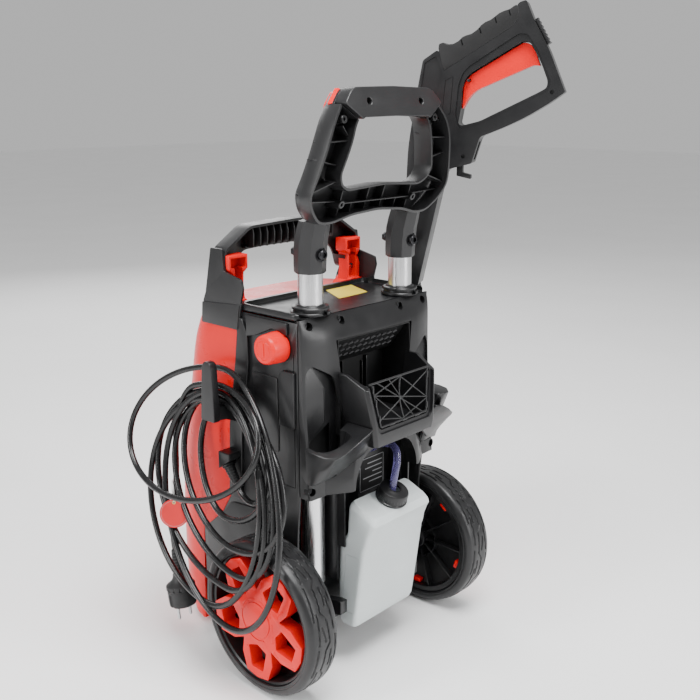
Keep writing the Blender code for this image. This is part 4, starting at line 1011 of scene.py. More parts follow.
def recess_lining():
    """The inner walls of the recess in darker, duller plastic as painted shade, with three rows of slanted
    slits under its top edge, lighter as painted highlight.
    """
    outer = mm((35, 441.2), (29, 441.2), (3.5, 407.5), (-12.5, 399), (-12.5, 320.5), (39.2, 320.5),
               (38, 390))
    inner = mm((45, 439.6), (30, 439.6), (5.5, 405.2), (-10, 397), (-10, 322.6), (45, 322.6))
    lining = prism("recess_box", outer, "x", -0.0678, 0.0678)
    cut(lining, prism("recess_space", inner, "x", -0.0667, 0.0667))
    slope = Vector((0.0, 0.025, 0.0324))
    along, facing = slope.normalized(), Vector((0.0, 0.792, -0.61))
    foot = Vector((0.0, 0.0055, 0.4052))
    ribs = []
    for row in range(3):
        for k in range(11):
            x = -0.055 + 0.0105 * k + 0.0025 * row
            middle = foot + slope * (0.22 + 0.27 * row) + Vector((x, 0, 0))
            slit = block(f"slit_{row}_{k}", (-0.0034, -0.0006, -0.001), (0.0034, 0.0006, 0.0013))
            turn = Matrix((Vector((1, 0, 0)), along, facing)).transposed().to_4x4()
            tilt = Matrix.Rotation(math.radians(-32), 4, "Z")
            slit.data.transform(Matrix.Translation(middle) @ turn @ tilt)
            ribs.append(bake(bevel(slit, 0.0003, 2)))
    # The lining's darker, duller plastic is painted shade in the recess.
    shown(lining, SHADE_AND_LABEL_DARK, "machine", "black_plastic", "recess_lining")
    # The slits are lighter than the plastic round them: painted highlight.
    louvres = merged("recess_louvres", ribs)
    shown(louvres, SLIT_HIGHLIGHT, "machine", "black_plastic")
    uprights = []
    for x, wide, deep, top in mm((-30, 4, 6, 396), (-22.5, 1.2, 4, 390), (15, 1.2, 4, 396),
                                 (32, 3, 5, 370)):
        upright = block("lining_rib", (x - wide / 2, -0.0102, 0.3225), (x + wide / 2, -0.01 + deep, top))
        uprights.append(bake(bevel(upright, 0.0004, 2)))
    black(merged("lining_ribs", uprights))


def grille_at(u, v):
    """A point of the bin's grille: u from -1 to 1 across it, v from -1 to 1 up it."""
    z = 0.336 + 0.027 * (v + 1)
    return Vector((u * (0.044 + 0.0095 * (v + 1) / 2), 0.0838 - (z - 0.336) * 0.138, z))


def bin_grille():
    """A light lattice: a frame with clips, a curved upright and thin crossing bars."""
    bars = [((-1, -1), (1, -1), 0.0015), ((-1, -1), (-1, 1), 0.0013), ((1, -1), (1, 1), 0.0013),
            ((-1.08, 1.04), (1.08, 1.04), 0.0014), ((-1, 0.86), (1, -0.72), 0.0009),
            ((-1, -0.34), (1, 0.50), 0.0009), ((0, 1), (-1, -0.34), 0.0009), ((0, 1), (1, 0.50), 0.0009),
            ((-0.86, -1), (0.80, 1), 0.0009), ((0.05, -1), (1, 0.50), 0.0009),
            ((-1, -0.40), (0.05, -0.94), 0.0009), ((0.05, -0.94), (1, -0.60), 0.0009),
            ((-0.42, -1), (0.40, 1), 0.0008)]
    pieces = []
    for i, (a, b, radius) in enumerate(bars):
        pieces.append(rod(f"bar_{i}", grille_at(*a), grille_at(*b), radius, 12))
    arc = [grille_at(0.10 * math.sin(math.pi * k / 12), -1 + k / 6) for k in range(13)]
    for i, (a, b) in enumerate(zip(arc, arc[1:])):
        pieces.append(rod(f"arc_{i}", a, b + (b - a) * 0.08, 0.0011, 12))
    for i, (u, v) in enumerate(((-1, 0.7), (-1, -0.7), (1, 0.8), (1, 0.15), (1, -0.6), (-0.55, -1),
                                (0.0, -1), (0.55, -1))):
        middle = grille_at(u, v)
        wide, tall = (0.005, 0.0013) if v == -1 else (0.0013, 0.0046)
        clip = block(f"clip_{i}", (-wide, -0.0014, -tall), (wide, 0.002, tall))
        clip.data.transform(Matrix.Translation(middle))
        pieces.append(bake(bevel(clip, 0.0005, 2)))
    shown(merged("bin_lattice", pieces), CHARCOAL, "machine", "black_plastic", "bin_grille")


def rating_label():
    """A dark plate with a pale border and plain pale bars, low on the inner back wall."""
    outline = rounded(mm((-50, 213), (-1, 213), (-1, 260), (-50, 260)), 0.002, 3)
    plate = bevel(prism("rating_label", outline, "y", 0.0081, 0.0086), 0.0001, 1)
    # The plate's dark colour is the label's own, from the material shared with the painted shade.
    shown(plate, SHADE_AND_LABEL_DARK, "machine", "black_plastic")
    inner = inset(outline, 0.0016)
    border = prism("rating_border", inset(outline, 0.0008), "y", 0.0084, 0.0088, [inner])
    shown(border, PALE, "machine", "grey_plastic")
    rows = []
    for k, (start, end) in enumerate(mm((-46, -20), (-46, -8), (-46, -27), (-46, -12), (-46, -17))):
        z = 0.224 + 0.0066 * k
        rows.append(block("rating_row", (start, 0.0084, z), (end, 0.0087, z + 0.0013)))
    shown(merged("rating_rows", rows), PALE, "machine", "grey_plastic")


def chassis():
    """The inner back wall below the cover, with its side flanks and ribs."""
    outline = rounded(mm((-58, 121), (58, 121), (65, 200), (65, 319), (-65, 319), (-65, 200)), 0.004, 3)
    wall = prism("chassis_wall", outline, "y", 0.004, 0.008)
    for side in (1, -1):
        flank = flipped(side, mm((60, 121), (65.5, 121), (65.5, 318.5), (60, 318.5)))
        join(wall, prism(f"flank_{side}", flank, "y", 0.0045, 0.03))
        low, high = span(side, 0.0615, 0.064)
        join(wall, block(f"flank_top_{side}", (low, 0.029, 0.17), (high, 0.0415, 0.318)))
    cut(wall, rod("hose_hole", (0, -0.01, HOSE_HOLE_Z), (0, 0.02, HOSE_HOLE_Z), 0.006, 32))
    for z in (0.14, 0.16, 0.18, 0.2):
        join(wall, block(f"wall_rib_{z}", (-0.056, 0.007, z - 0.0009), (0.056, 0.0105, z + 0.0009)))
    for x in (-0.036, 0.0, 0.036):
        join(wall, block(f"wall_upright_{x}", (x - 0.0009, 0.0068, 0.124), (x + 0.0009, 0.0103, 0.208)))
    black(bevel(bake(wall), 0.0006, 2), "chassis_back")
    rating_label()


# Wheels

TREAD_PERIOD = math.radians(45)
GROOVE = 0.0017
TREAD_STEPS = 640
TREAD_HALF = 0.0179


def zigzag(angle):
    """Where the main tread groove runs, across the tyre, at an angle round it."""
    part = (angle % TREAD_PERIOD) / TREAD_PERIOD
    path = ((0.0, -0.0045), (0.38, -0.002), (0.50, 0.0045), (0.88, 0.002), (1.0, -0.0045))
    for (a, x), (b, y) in zip(path, path[1:]):
        if part <= b:
            return x + (y - x) * (part - a) / (b - a)
    return path[-1][1]


DASHES = (((0.0125, 0.02), (0.0105, 0.50)), ((0.016, 0.42), (0.0135, 0.93)),
          ((-0.012, 0.20), (-0.01, 0.70)), ((-0.0155, 0.62), (-0.014, 1.08)),
          ((0.002, 0.05), (0.006, 0.28)), ((-0.0055, 0.58), (-0.0065, 0.86)))


def groove_depth(x, angle):
    """How far the tread is cut at a place: one zig-zag round the tyre and rows of long dashes."""
    nearest = abs(x - zigzag(angle))
    part = (angle % TREAD_PERIOD) / TREAD_PERIOD
    pitch = TREAD_PERIOD * WHEEL_R
    for (xa, a), (xb, b) in DASHES:
        for lap in (-1, 0, 1):
            p = Vector((x, (part + lap) * pitch))
            start, end = Vector((xa, a * pitch)), Vector((xb, b * pitch))
            along = end - start
            t = max(0.0, min(1.0, (p - start).dot(along) / along.length_squared))
            nearest = min(nearest, (p - start - along * t).length)
    edge = max(0.0, min(1.0, (0.00165 - nearest) / 0.0008))
    return GROOVE * edge * edge * (3 - 2 * edge)


def tyre_piece(side, word):
    """A solid tyre with a crowned, grooved tread, round shoulders and a ridge on each wall."""
    half = mm((98.4, 18.2), (97.2, 20.3), (95.2, 22.1), (93, 23.1), (90.8, 23.5), (89.6, 23.5), (89.1, 23),
              (87.4, 23), (86.9, 23.4), (85.2, 22.6), (84.3, 19))
    across = [k * 0.0007 for k in range(-25, 26)]
    tread = [(WHEEL_R - 0.0016 * (max(0.0, abs(x) - 0.008) / 0.01) ** 2, x) for x in across]
    profile = [(r, -x) for r, x in reversed(half)] + tread + half
    middle = (WHEEL_OUT + WHEEL_IN) / 2
    bm = bmesh.new()
    rows = []
    for k in range(TREAD_STEPS):
        angle = math.tau * k / TREAD_STEPS
        ring = []
        for r, x in profile:
            depth = groove_depth(side * x, angle) if abs(x) < TREAD_HALF else 0.0
            reach = r - depth
            ring.append(bm.verts.new((side * middle + x, reach * math.cos(angle),
                                      AXLE_Z + reach * math.sin(angle))))
        rows.append(ring)
    skin(bm, rows, joined=True)
    piece = as_object(bm, f"tyre_{word}_tread")
    shown(piece, TYRE, f"wheel_{word}", "tyre_rubber", f"tyre_{word}")


def rim_piece(side, word):
    """A dished rim: an outer ring, a web with ribs on both faces, and a long hub."""
    bore, out = 0.0063, 0.0838
    profile = [(bore, 0.1335), (0.0145, 0.1335), (0.015, 0.134), (0.015, 0.148), (0.07, 0.148),
               (0.076, 0.146), (0.0768, 0.137), (0.0775, 0.1364), (out, 0.1364), (out, 0.1764),
               (0.0826, 0.1766), (0.0808, 0.175), (0.0786, 0.156), (0.075, 0.152), (0.015, 0.152),
               (0.015, 0.158), (0.0145, 0.1585), (bore, 0.1585)]
    web = turned(f"rim_web_{word}", [(r, side * x) for r, x in profile], (0, 0, AXLE_Z), "x", 120)
    low, high = span(side, 0.1385, 0.1482)
    pieces = [web]
    for k in range(10):
        angle = math.radians(-91 + 36 * k + 18)
        tip = Vector((math.cos(angle), math.sin(angle)))
        a, b = tip * 0.014, tip * 0.077
        outline = [(y, z + AXLE_Z) for y, z in rib_between(a, b, 0.0018)]
        rib = prism(f"rim_rib_{k}", outline, "x", low, high)
        pieces.append(bake(bevel(rib, 0.0004, 2)))
    low, high = side * 0.14, side * 0.1482
    ring = [(0.03, low), (0.0316, low), (0.0316, high), (0.03, high)]
    pieces.append(turned("rim_ring", ring, (0, 0, AXLE_Z), "x", 96))
    shown(merged(f"rim_{word}_dish", pieces), BLACK, f"wheel_{word}", "black_plastic", f"rim_{word}")


def arm_angle(k):
    """Which way an arm of the star points, in degrees round the axle."""
    return -91.0 + 72.0 * k


def star_points(table, mid):
    """Points given by (degrees from an arm's middle, distance from the axle)."""
    points = []
    for turn, radius in table:
        a = math.radians(mid + turn)
        points.append((radius * math.cos(a), AXLE_Z + radius * math.sin(a)))
    return points


def star_outline():
    table = ((-36.0, 0.042), (-27.0, 0.06), (-14.0, 0.0795), (0.0, 0.081), (14.0, 0.0795), (27.0, 0.06))
    points = []
    for k in range(5):
        points += star_points(table, arm_angle(k))
    return points


def wheel_star(side, word):
    """The red cover: five open kite-shaped arms round a shallow domed hub, with clips behind."""
    low, high = span(side, 0.159, 0.1782)
    hole = ((-21.0, 0.044), (-8.5, 0.069), (8.5, 0.069), (21.0, 0.044), (0.0, 0.0345))
    holes = [rounded(star_points(hole, arm_angle(k)), 0.0012, 2) for k in range(5)]
    star = prism(f"star_{word}", rounded(star_outline(), 0.0012, 2), "x", low, high, holes)
    bake(bevel(star, 0.0013, 3, 30))
    face = side * 0.18
    inner = side * 0.16
    hub = [(0.0001, inner), (0.03, inner), (0.03, side * 0.177), (0.029, side * 0.1783),
           (0.027, side * 0.1788), (0.0262, side * 0.1772), (0.0238, side * 0.1772),
           (0.023, side * 0.1792), (0.018, side * 0.1798), (0.008, face), (0.0001, face)]
    dome = turned(f"star_hub_{word}", hub, (0, 0, AXLE_Z), "x", 96)
    cut(dome, *[star_notch(side, k) for k in range(5)])
    pieces = [star, bake(dome)]
    for k in range(5):
        middle = star_points(((0.0, 0.056),), arm_angle(k))[0]
        low, high = span(side, 0.1405, 0.16)
        tab = block("clip_tab", (low, -0.0028, -0.006), (high, 0.0028, 0.006))
        spin = Matrix.Rotation(math.radians(arm_angle(k)), 4, "X")
        place = Matrix.Translation((0, middle[0], middle[1]))
        tab.data.transform(place @ spin @ Matrix.Translation((0, 0.0165, 0)))
        pieces.append(bake(bevel(tab, 0.0006, 2)))
    shown(merged(f"wheel_star_{word}", pieces), RED, f"wheel_{word}", "red_plastic", f"wheel_cover_{word}")


def star_notch(side, k):
    """A small moulded pocket at the hub's edge, between two arms."""
    middle = star_points(((36.0, 0.0272),), arm_angle(k))[0]
    low, high = span(side, 0.1745, 0.19)
    notch = block("star_notch", (low, -0.0018, -0.004), (high, 0.0018, 0.004))
    spin = Matrix.Rotation(math.radians(arm_angle(k) + 36.0), 4, "X")
    notch.data.transform(Matrix.Translation((0, middle[0], middle[1])) @ spin)
    return notch


def wheels():
    for side, word in SIDES:
        tyre_piece(side, word)
        rim_piece(side, word)
        wheel_star(side, word)


# Spray gun: built upright with its profile in (x, z), then turned about its barrel

def slab(name, outline, axis, low, high, width=0.0008, segments=3, holes=(), matrix=TO_FRAME):
    """A pushed outline with softened edges, ready to merge or to show."""
    return bake(bevel(prism(name, outline, axis, low, high, holes, matrix), width, segments, 30))


GUN_HALF = 0.0165
PIN_X, PIN_Z = 0.074, 0.7435
COLLAR_FLUTES = 16


def gun_prism(name, outline, low, high, holes=()):
    return prism(name, outline, "y", low, high, holes, TO_GUN)


def gun_rod(name, x, z, low, high, radius, sides=24):
    """A rod across the gun at (x, z)."""
    return rod(name, (x, low, z), (x, high, z), radius, sides, matrix=TO_GUN)


def gun_body():
    outline = mm((-10, 474), (13, 474), (38, 593), (46, 630), (81, 639), (91, 673), (120, 684.5),
                 (149, 698), (180, 717), (196, 729), (174, 780), (153, 817), (143, 839), (133, 836),
                 (130, 823.5), (46, 772), (32, 781), (14, 769), (8, 736), (0, 686), (-4, 656))
    radii = [0.001, 0.001, 0.012, 0.01, 0.002, 0.004, 0.012, 0.02, 0.012, 0.0015, 0.01, 0.004, 0.002,
             0.004, 0.002, 0.004, 0.002, 0.003, 0.01, 0.02, 0.02]
    window = mm((62, 690), (65, 707), (66, 733), (70, 746), (78, 754), (141, 791), (150, 789), (158, 778),
                (167, 759), (174, 742), (173, 734), (162, 728), (90, 693), (66, 687))
    body = gun_prism("gun_body", rounded(outline, radii, 4), -GUN_HALF, GUN_HALF,
                     [rounded(window, 0.004, 3)])
    slot = mm((60, 722), (68, 715), (160, 765), (152, 797), (136, 803.5), (72, 762))
    cut(body, gun_prism("trigger_slot", slot, -0.0093, 0.0093))
    bake(bevel(bake(body), 0.003, 4, 40))
    # Each cheek has a sunken spine panel, a rim round the trigger, a groove and a plain raised plate
    for side in (1, -1):
        face = side * GUN_HALF
        low, high = sorted((face - side * 0.0011, face + side * 0.01))
        spine = mm((16.5, 765.5), (31, 774), (34, 768), (40.5, 750), (29.5, 719), (12.5, 735))
        cut(body, gun_prism("spine_panel", rounded(spine, 0.002, 3), low, high))
        rim = mm((58, 700), (61, 737), (66, 752), (74, 761), (136, 800), (147, 799), (162, 777), (171, 757),
                 (178, 742), (176, 731), (150, 718), (90, 689), (64, 682))
        low, high = sorted((face - side * 0.0018, face + side * 0.01))
        cut(body, gun_prism("window_rim", rounded(rim, 0.004, 3), low, high))
        low, high = sorted((face - side * 0.0007, face + side * 0.01))
        plate = mm((44, 744), (54.5, 749), (52, 702), (40, 696))
        cut(body, gun_prism("plate_groove", plate, low, high, [inset(plate, 0.0012)]))
        crease = mm((36, 690), (37.2, 689.6), (24, 594), (22.8, 594.3))
        cut(body, gun_prism("barrel_crease", crease, low, high))
        for x, z in mm((70, 648), (24, 700), (180, 729)):
            cut(body, gun_rod("gun_screw", x, z, face - side * 0.0035, face + side * 0.01, 0.0026))
    cut(body, rod("barrel_bore", (0, 0, 0.45), (0, 0, 0.56), 0.0078, matrix=TO_GUN))
    mouth = mm((79.5, 644), (95, 640), (99, 664), (84.5, 668))
    cut(body, gun_prism("edge_slot", rounded(mouth, 0.002, 3), -0.006, 0.006))
    cut(body, gun_rod("pin_hole", PIN_X, PIN_Z, -0.03, 0.03, 0.0022))
    return bake(body)


def gun_clip():
    """The L-shaped clip under the gun's body that the pressure hose snaps into."""
    outline = mm((60, 640), (60, 622), (79, 618), (79, 623.5), (68, 626.2), (68, 640))
    return slab("gun_clip", rounded(outline, 0.0012, 3), "y", -0.005, 0.005, 0.0008, 3, matrix=TO_GUN)


def grip_skin():
    """The soft grip over the gun's back, with four finger waves and notches between them."""
    waves = mm((34, 783), (34.5, 788.5), (40, 790.5), (46, 788), (53, 788.5), (60, 792), (64, 796.2),
               (69, 798.5), (76, 800.3), (83, 805), (88, 810.5), (93, 814), (100, 816.8), (106, 821.2),
               (110.5, 824.5), (116, 826.8), (123, 828.8), (130, 833.5), (133.5, 833))
    low = mm((135, 824), (133, 815), (128, 808.5), (76, 776.5), (56, 764), (42, 756), (38.5, 765))
    skin = gun_prism("grip_skin", rounded(waves + low, 0.0012, 2), -0.0171, 0.0171)
    bake(bevel(skin, 0.0024, 4, 40))
    for x, z in mm((62, 793.5), (85, 807.5), (104, 819.5), (121, 828)):
        for side in (1, -1):
            low, high = span(side, 0.015, 0.02)
            notch = [(x - 0.0006, z + 0.0025), (x + 0.001, z + 0.002), (x + 0.0042, z - 0.0068),
                     (x + 0.0026, z - 0.0074)]
            cut(skin, gun_prism("finger_notch", rounded(notch, 0.0006, 2), low, high))
    return bake(skin)


def trigger_piece():
    outline = mm((66, 708), (73.5, 722), (83, 731.5), (155, 762), (163, 761), (157, 777), (150, 787.5),
                 (142, 789.5), (77.5, 751.5), (69, 743), (66.8, 733))
    radii = [0.001, 0.008, 0.01, 0.008, 0.001, 0.006, 0.004, 0.004, 0.004, 0.004, 0.006]
    lever = gun_prism("trigger_lever", rounded(outline, radii, 4), -0.0085, 0.0085)
    cut(lever, gun_rod("trigger_bore", PIN_X, PIN_Z, -0.02, 0.02, 0.0022))
    bake(bevel(lever, 0.0022, 4, 40))
    for k in range(5):
        x = 0.092 + 0.013 * k
        z = 0.7315 + (x - 0.083) * 0.4236
        cut(lever, gun_rod("trigger_rib", x, z - 0.0006, -0.006, 0.006, 0.0008, 12))
    return bake(lever)


def slider_piece():
    corner = Vector((0.153, 0, 0.817))
    along = (Vector((0.174, 0, 0.78)) - corner).normalized()
    out = Vector((-along.z, 0, along.x))
    start = corner + along * 0.001 + out * 0.0006
    edge = []
    for k in range(25):
        lift = (0.0045, 0.0045, 0.0034, 0.0034)[k % 4]
        edge.append(start + along * (0.034 - k * 0.034 / 24) + out * lift)
    outline = [(p.x, p.z) for p in [start, start + along * 0.034] + edge]
    return slab("slider_ribs", outline, "y", -0.011, 0.011, 0.0003, 2, matrix=TO_GUN)


def lance_piece():
    """The steel lance: a plain tube with a waisted end."""
    profile = mm((1.6, 330), (6, 330), (6.6, 330.8), (6.6, 340), (5.8, 342), (5.8, 352), (7.4, 353.5),
                 (7.4, 558), (1.6, 558))
    return turned("lance_tube", profile, (0, 0, 0), "z", 64, TO_GUN)


def lance_coupling():
    ring = mm((7.6, 455), (13.6, 455), (14.8, 456.5), (14.8, 469), (13.6, 470.5), (13.6, 473.5),
              (7.6, 473.5))
    collar = turned("lance_collar", ring, (0, 0, 0), "z", 96, TO_GUN)
    for k in range(COLLAR_FLUTES):
        a = math.tau * k / COLLAR_FLUTES
        x, y = 0.0158 * math.cos(a), 0.0158 * math.sin(a)
        cut(collar, rod("collar_flute", (x, y, 0.45), (x, y, 0.4712), 0.0017, 12, matrix=TO_GUN))
    return bake(collar)


def spray_gun():
    body = merged("gun_housing", [gun_body(), gun_clip()], TO_GUN)
    shown(body, BLACK, "spray_gun", "black_plastic", "gun_shell")
    shown(grip_skin(), SOFT_GRIP, "spray_gun", "black_plastic", "gun_grip_overlay")
    shown(trigger_piece(), RED, "trigger", "red_plastic", "gun_trigger")
    shown(slider_piece(), CHARCOAL, "gun_lock", "grey_plastic", "gun_lock_slider")
    shown(lance_piece(), STEEL, "spray_gun", "steel", "gun_lance")
    shown(lance_coupling(), BLACK, "spray_gun", "black_plastic")


# Body shells

FRONT_Y = mm((8, -240), (60, -253), (210, -252), (289, -238), (349, -226), (415, -212), (452, -195),
             (469, -180))
SEAM_Y = mm((8, -175), (150, -169), (185, -129), (215, -110), (316, -105), (404, -90), (444, -85),
            (469, -92.5))


def straight(table, z):
    for (a, x), (b, y) in zip(table, table[1:]):
        if z <= b:
            return x + (y - x) * max(0.0, z - a) / (b - a)
    return table[-1][1]


def front_half(z):
    """Half of the front shell's plan at a height: from the mid-line out to the side seam."""
    y, seam = smoothed(FRONT_Y, z), straight(SEAM_Y, z)
    steps = mm((0, 0), (30, 0.3), (56, 1.3), (72, 4), (88, 8.8), (98, 15), (106, 23.8), (112.5, 34),
               (117.2, 45.5), (120, 57))
    curve = [(x, y + d) for x, d in steps]
    shoulder = min(y + 0.068, seam - 0.005)
    return curve + [(BODY_HALF, shoulder), (BODY_HALF, (shoulder + seam) / 2), (BODY_HALF, seam)]


def front_levels():
    levels = {z for z, _ in SEAM_Y} | {0.012 + 0.0115 * k for k in range(39)} | {0.466, 0.469}
    return sorted(z for z in levels if z <= 0.469)


def front_skin():
    """The red front shell, one curved wall closed at the top and the bottom."""
    rings = []
    for z in front_levels():
        half = front_half(z)
        tuck = 0.0022 if z > 0.4685 else (0.0007 if z > 0.4655 else 0.0)
        whole = [(-x, y) for x, y in reversed(half[1:])] + half
        rings.append([(x * (1 - tuck * 6), y + tuck * (1 if y < -0.12 else 0), z) for x, y in whole])
    shell = loft("front_skin", rings, closed=False, caps=True)
    thick = shell.modifiers.new("wall", "SOLIDIFY")
    thick.thickness = WALL
    thick.offset = -1.0
    thick.use_even_offset = True
    bake(shell)
    cut(shell, block("panel_window", (-0.062, -0.3, 0.03), (0.062, -0.23, 0.19)))
    for k in range(7):
        z = 0.232 + 0.013 * k
        half = 0.052 - 0.004 * abs(k - 3)
        slot = rounded([(-half, z), (half, z), (half - 0.004, z + 0.0048), (-half + 0.004, z + 0.0048)],
                       0.0016, 3)
        cut(shell, prism("air_slot", slot, "y", -0.3, -0.2))
    for side in (1, -1):
        groove = flipped(side, mm((76, 20), (79, 20), (79, 200), (66, 340), (64, 460), (61.5, 460),
                                  (63.5, 339), (76, 199)))
        depth = prism("shell_groove", groove, "y", -0.3, -0.2)
        keep = loft("groove_keep", [[(x, y + 0.0012, z) for x, y in
                                     [(-0.118, -0.05)] + [(-a, b) for a, b in reversed(front_half(z)[1:9])]
                                     + front_half(z)[:9] + [(0.118, -0.05)]] for z in front_levels()[::3]])
        cut(depth, keep)
        cut(shell, bake(depth))
    return bake(shell)


def handle_bracket(side):
    """The red bracket that the carry handle is screwed to: a stepped T with a recess in its face."""
    def piece(name, points, low, high, width=0.001):
        return slab(name, flipped(side, points), "y", low, high, width)
    cap = piece("bracket_cap", mm((120.5, 534), (90, 534), (90, 516.5), (96, 512), (114, 508),
                                  (120.5, 516.5)), -0.118, -0.0985)
    low, high = span(side, 0.0935, 0.1175)
    cut(cap, block("cap_recess", (low, -0.114, 0.5178), (high, -0.09, 0.5305)))
    low, high = span(side, 0.0995, 0.1115)
    cut(cap, block("cap_slot", (low, -0.114, 0.5), (high, -0.09, 0.52)))
    stem = piece("bracket_stem", mm((114, 512), (95.5, 514), (96.5, 490), (93, 468), (120.5, 468),
                                    (120.5, 498)), -0.118, -0.1)
    low, high = span(side, 0.099, 0.1115)
    cut(stem, block("stem_recess", (low, -0.113, 0.478), (high, -0.09, 0.52)))
    foot = piece("bracket_foot", mm((85, 467), (120.8, 467), (120.8, 476), (98, 479)), -0.123, -0.0945)
    profile = mm((1, -108.5), (3.2, -108.5), (3.2, -105.5), (1.8, -104.5), (1, -105.8))
    screw = turned("bracket_screw", profile, (side * 0.106, 0, 0.492), "y", 24)
    return [bake(cap), bake(stem), foot, screw]


def front_body():
    pieces = [front_skin()] + handle_bracket(1) + handle_bracket(-1)
    shown(merged("front_body", pieces), RED, "machine", "red_plastic", "front_shell")


def lower_panel():
    """The lower front panel, with a raised rim round each water connection."""
    outline = mm((-61.2, 30.8), (61.2, 30.8), (61.2, 189.2), (-61.2, 189.2))
    panel = prism("lower_panel", rounded(outline, 0.003, 3), "y", -0.256, -0.25)
    sunk = rounded(mm((-54, 38), (54, 38), (54, 182), (-54, 182)), 0.006, 4)
    cut(panel, prism("panel_sunk", sunk, "y", -0.30, -0.2545))
    for x, radius in ((-0.03, 0.0172), (0.03, 0.0152)):
        cut(panel, rod("panel_hole", (x, -0.27, 0.115), (x, -0.24, 0.115), radius, 64))
    for k in range(6):
        z = 0.05 + 0.0065 * k
        cut(panel, block("panel_line", (-0.044, -0.26, z), (0.044, -0.2538, z + 0.0022)))
    pieces = [bake(bevel(bake(panel), 0.0006, 2, 40))]
    for x, radius in ((-0.03, 0.0174), (0.03, 0.0154)):
        ring = [(radius, -0.2525), (radius + 0.006, -0.2525), (radius + 0.0056, -0.2562),
                (radius + 0.0046, -0.2572), (radius + 0.001, -0.2572), (radius, -0.2562)]
        pieces.append(turned("panel_ring", ring, (x, 0, 0.115), "y", 72))
    for x in (-0.0475, 0.0475):
        for z in (0.0445, 0.1755):
            pieces.append(turned("panel_screw", mm((0.8, -252), (3.2, -252), (3.1, -255.5), (2, -256.2),
                                                   (0.8, -255)),
                                 (x, 0, z), "y", 24))
    shown(merged("lower_front_panel", pieces), CHARCOAL, "machine", "grey_plastic", "front_panel")


def side_outline():
    front = [(straight(SEAM_Y, z) + 0.0006, z) for z in (0.444, 0.404, 0.316, 0.215, 0.185, 0.15)]
    low = mm((-168, 70), (-150, 45), (10, 45), (16, 200), (20, 245))
    return [(-0.0915, 0.468)] + front + low + [(0.02, 0.3), (0.02, 0.468)]


def side_wall(side):
    """A side wall with the raised, rounded band along its seam and moulded grooves."""
    low, high = span(side, BODY_HALF - WALL, BODY_HALF)
    wall = slab(f"side_wall_{side}", side_outline(), "x", low, high, 0.0006, 2)
    line = (0.462, 0.444, 0.404, 0.37, 0.34, 0.316, 0.28, 0.248, 0.218)
    front = [(straight(SEAM_Y, z) + 0.0012, z) for z in line]
    back = [(y + (0.015 if z > 0.45 else 0.019 if z > 0.43 else 0.024), z - 0.0015)
            for y, z in reversed(front)]
    low, high = span(side, BODY_HALF - 0.0012, BODY_HALF + 0.0034)
    band = slab(f"seam_band_{side}", rounded(front + back, 0.004, 3), "x", low, high, 0.0024, 4)
    # The skirt round the wheel arch and a shallow panel line over it
    skirt = mm((-160, 70), (-148, 50), (6, 50), (10.5, 115), (-30, 215), (-108, 208), (-128, 185),
               (-162, 156))
    low, high = span(side, BODY_HALF - 0.001, BODY_HALF + 0.0016)
    swell = slab(f"skirt_{side}", rounded(skirt, 0.008, 4), "x", low, high, 0.0012, 3)
    cut(swell, rod("swell_axle", (side * 0.10, 0, AXLE_Z), (side * 0.14, 0, AXLE_Z), 0.018, 48))
    bake(swell)
    low, high = span(side, BODY_HALF - 0.0008, BODY_HALF + 0.01)
    cut(wall, block("panel_line", (low, -0.07, 0.26), (high, 0.014, 0.2612)),
        block("panel_line", (low, 0.0128, 0.2612), (high, 0.014, 0.43)))
    return bake(wall), [band, swell]


def axle_hole(side):
    return rod(f"axle_hole_{side}", (side * 0.10, 0, AXLE_Z), (side * 0.14, 0, AXLE_Z), 0.007, 48)


GLAND_FOOT = Vector((0.1345, -0.0965, 0.2672))
GLAND_AXIS = Vector((0.0, 0.574, -0.819)).normalized()


def left_wall():
    wall, extras = side_wall(1)
    cut(wall, axle_hole(1), rod("knob_hole", (0.10, KNOB_Y, KNOB_Z), (0.14, KNOB_Y, KNOB_Z), 0.0085, 48))
    bake(wall)
    out = BODY_HALF + 0.004
    hood = mm((-66, 466.8), (6, 466.8), (6, 452), (-2, 453), (-10, 456.6), (-20, 456.6), (-48, 444),
              (-66, 440))
    extras.append(slab("switch_hood", rounded(hood, 0.0012, 2), "x", BODY_HALF - 0.001, out, 0.001, 3))
    lump = mm((-10, 338), (16.5, 338), (16.5, 408), (-4, 408), (-10, 402))
    extras.append(slab("side_lump", rounded(lump, 0.002, 3), "x", BODY_HALF - 0.001, out, 0.0014, 3))
    step = mm((-52, 300), (-14, 300), (-14, 396), (-60, 396))
    extras.append(slab("side_step", rounded(step, 0.004, 3), "x", BODY_HALF - 0.001, BODY_HALF + 0.0016,
                       0.001, 3))
    cheek = mm((-105, 285), (-84, 285), (-84, 276), (-105, 261.3))
    hood = slab("gland_cheek", cheek, "x", BODY_HALF - 0.001, 0.144, 0.0012, 3)
    cut(hood, rod("gland_bore", GLAND_FOOT - GLAND_AXIS * 0.009, GLAND_FOOT + GLAND_AXIS * 0.01, 0.0078, 48))
    extras.append(bake(hood))
    black(merged("left_wall", [wall] + extras), "left_side_shell")


def right_wall():
    wall, extras = side_wall(-1)
    cut(wall, axle_hole(-1))
    bake(wall)
    for k in range(9):
        z = 0.285 + 0.012 * k
        slat = [(-0.066 + 0.0015 * k, z), (-0.012, z), (-0.012, z + 0.0055),
                (-0.0645 + 0.0015 * k, z + 0.0055)]
        cut(wall, prism("side_vent", rounded(slat, 0.002, 3), "x", -0.14, -0.10))
    black(merged("right_wall", [bake(wall)] + extras), "right_side_shell")


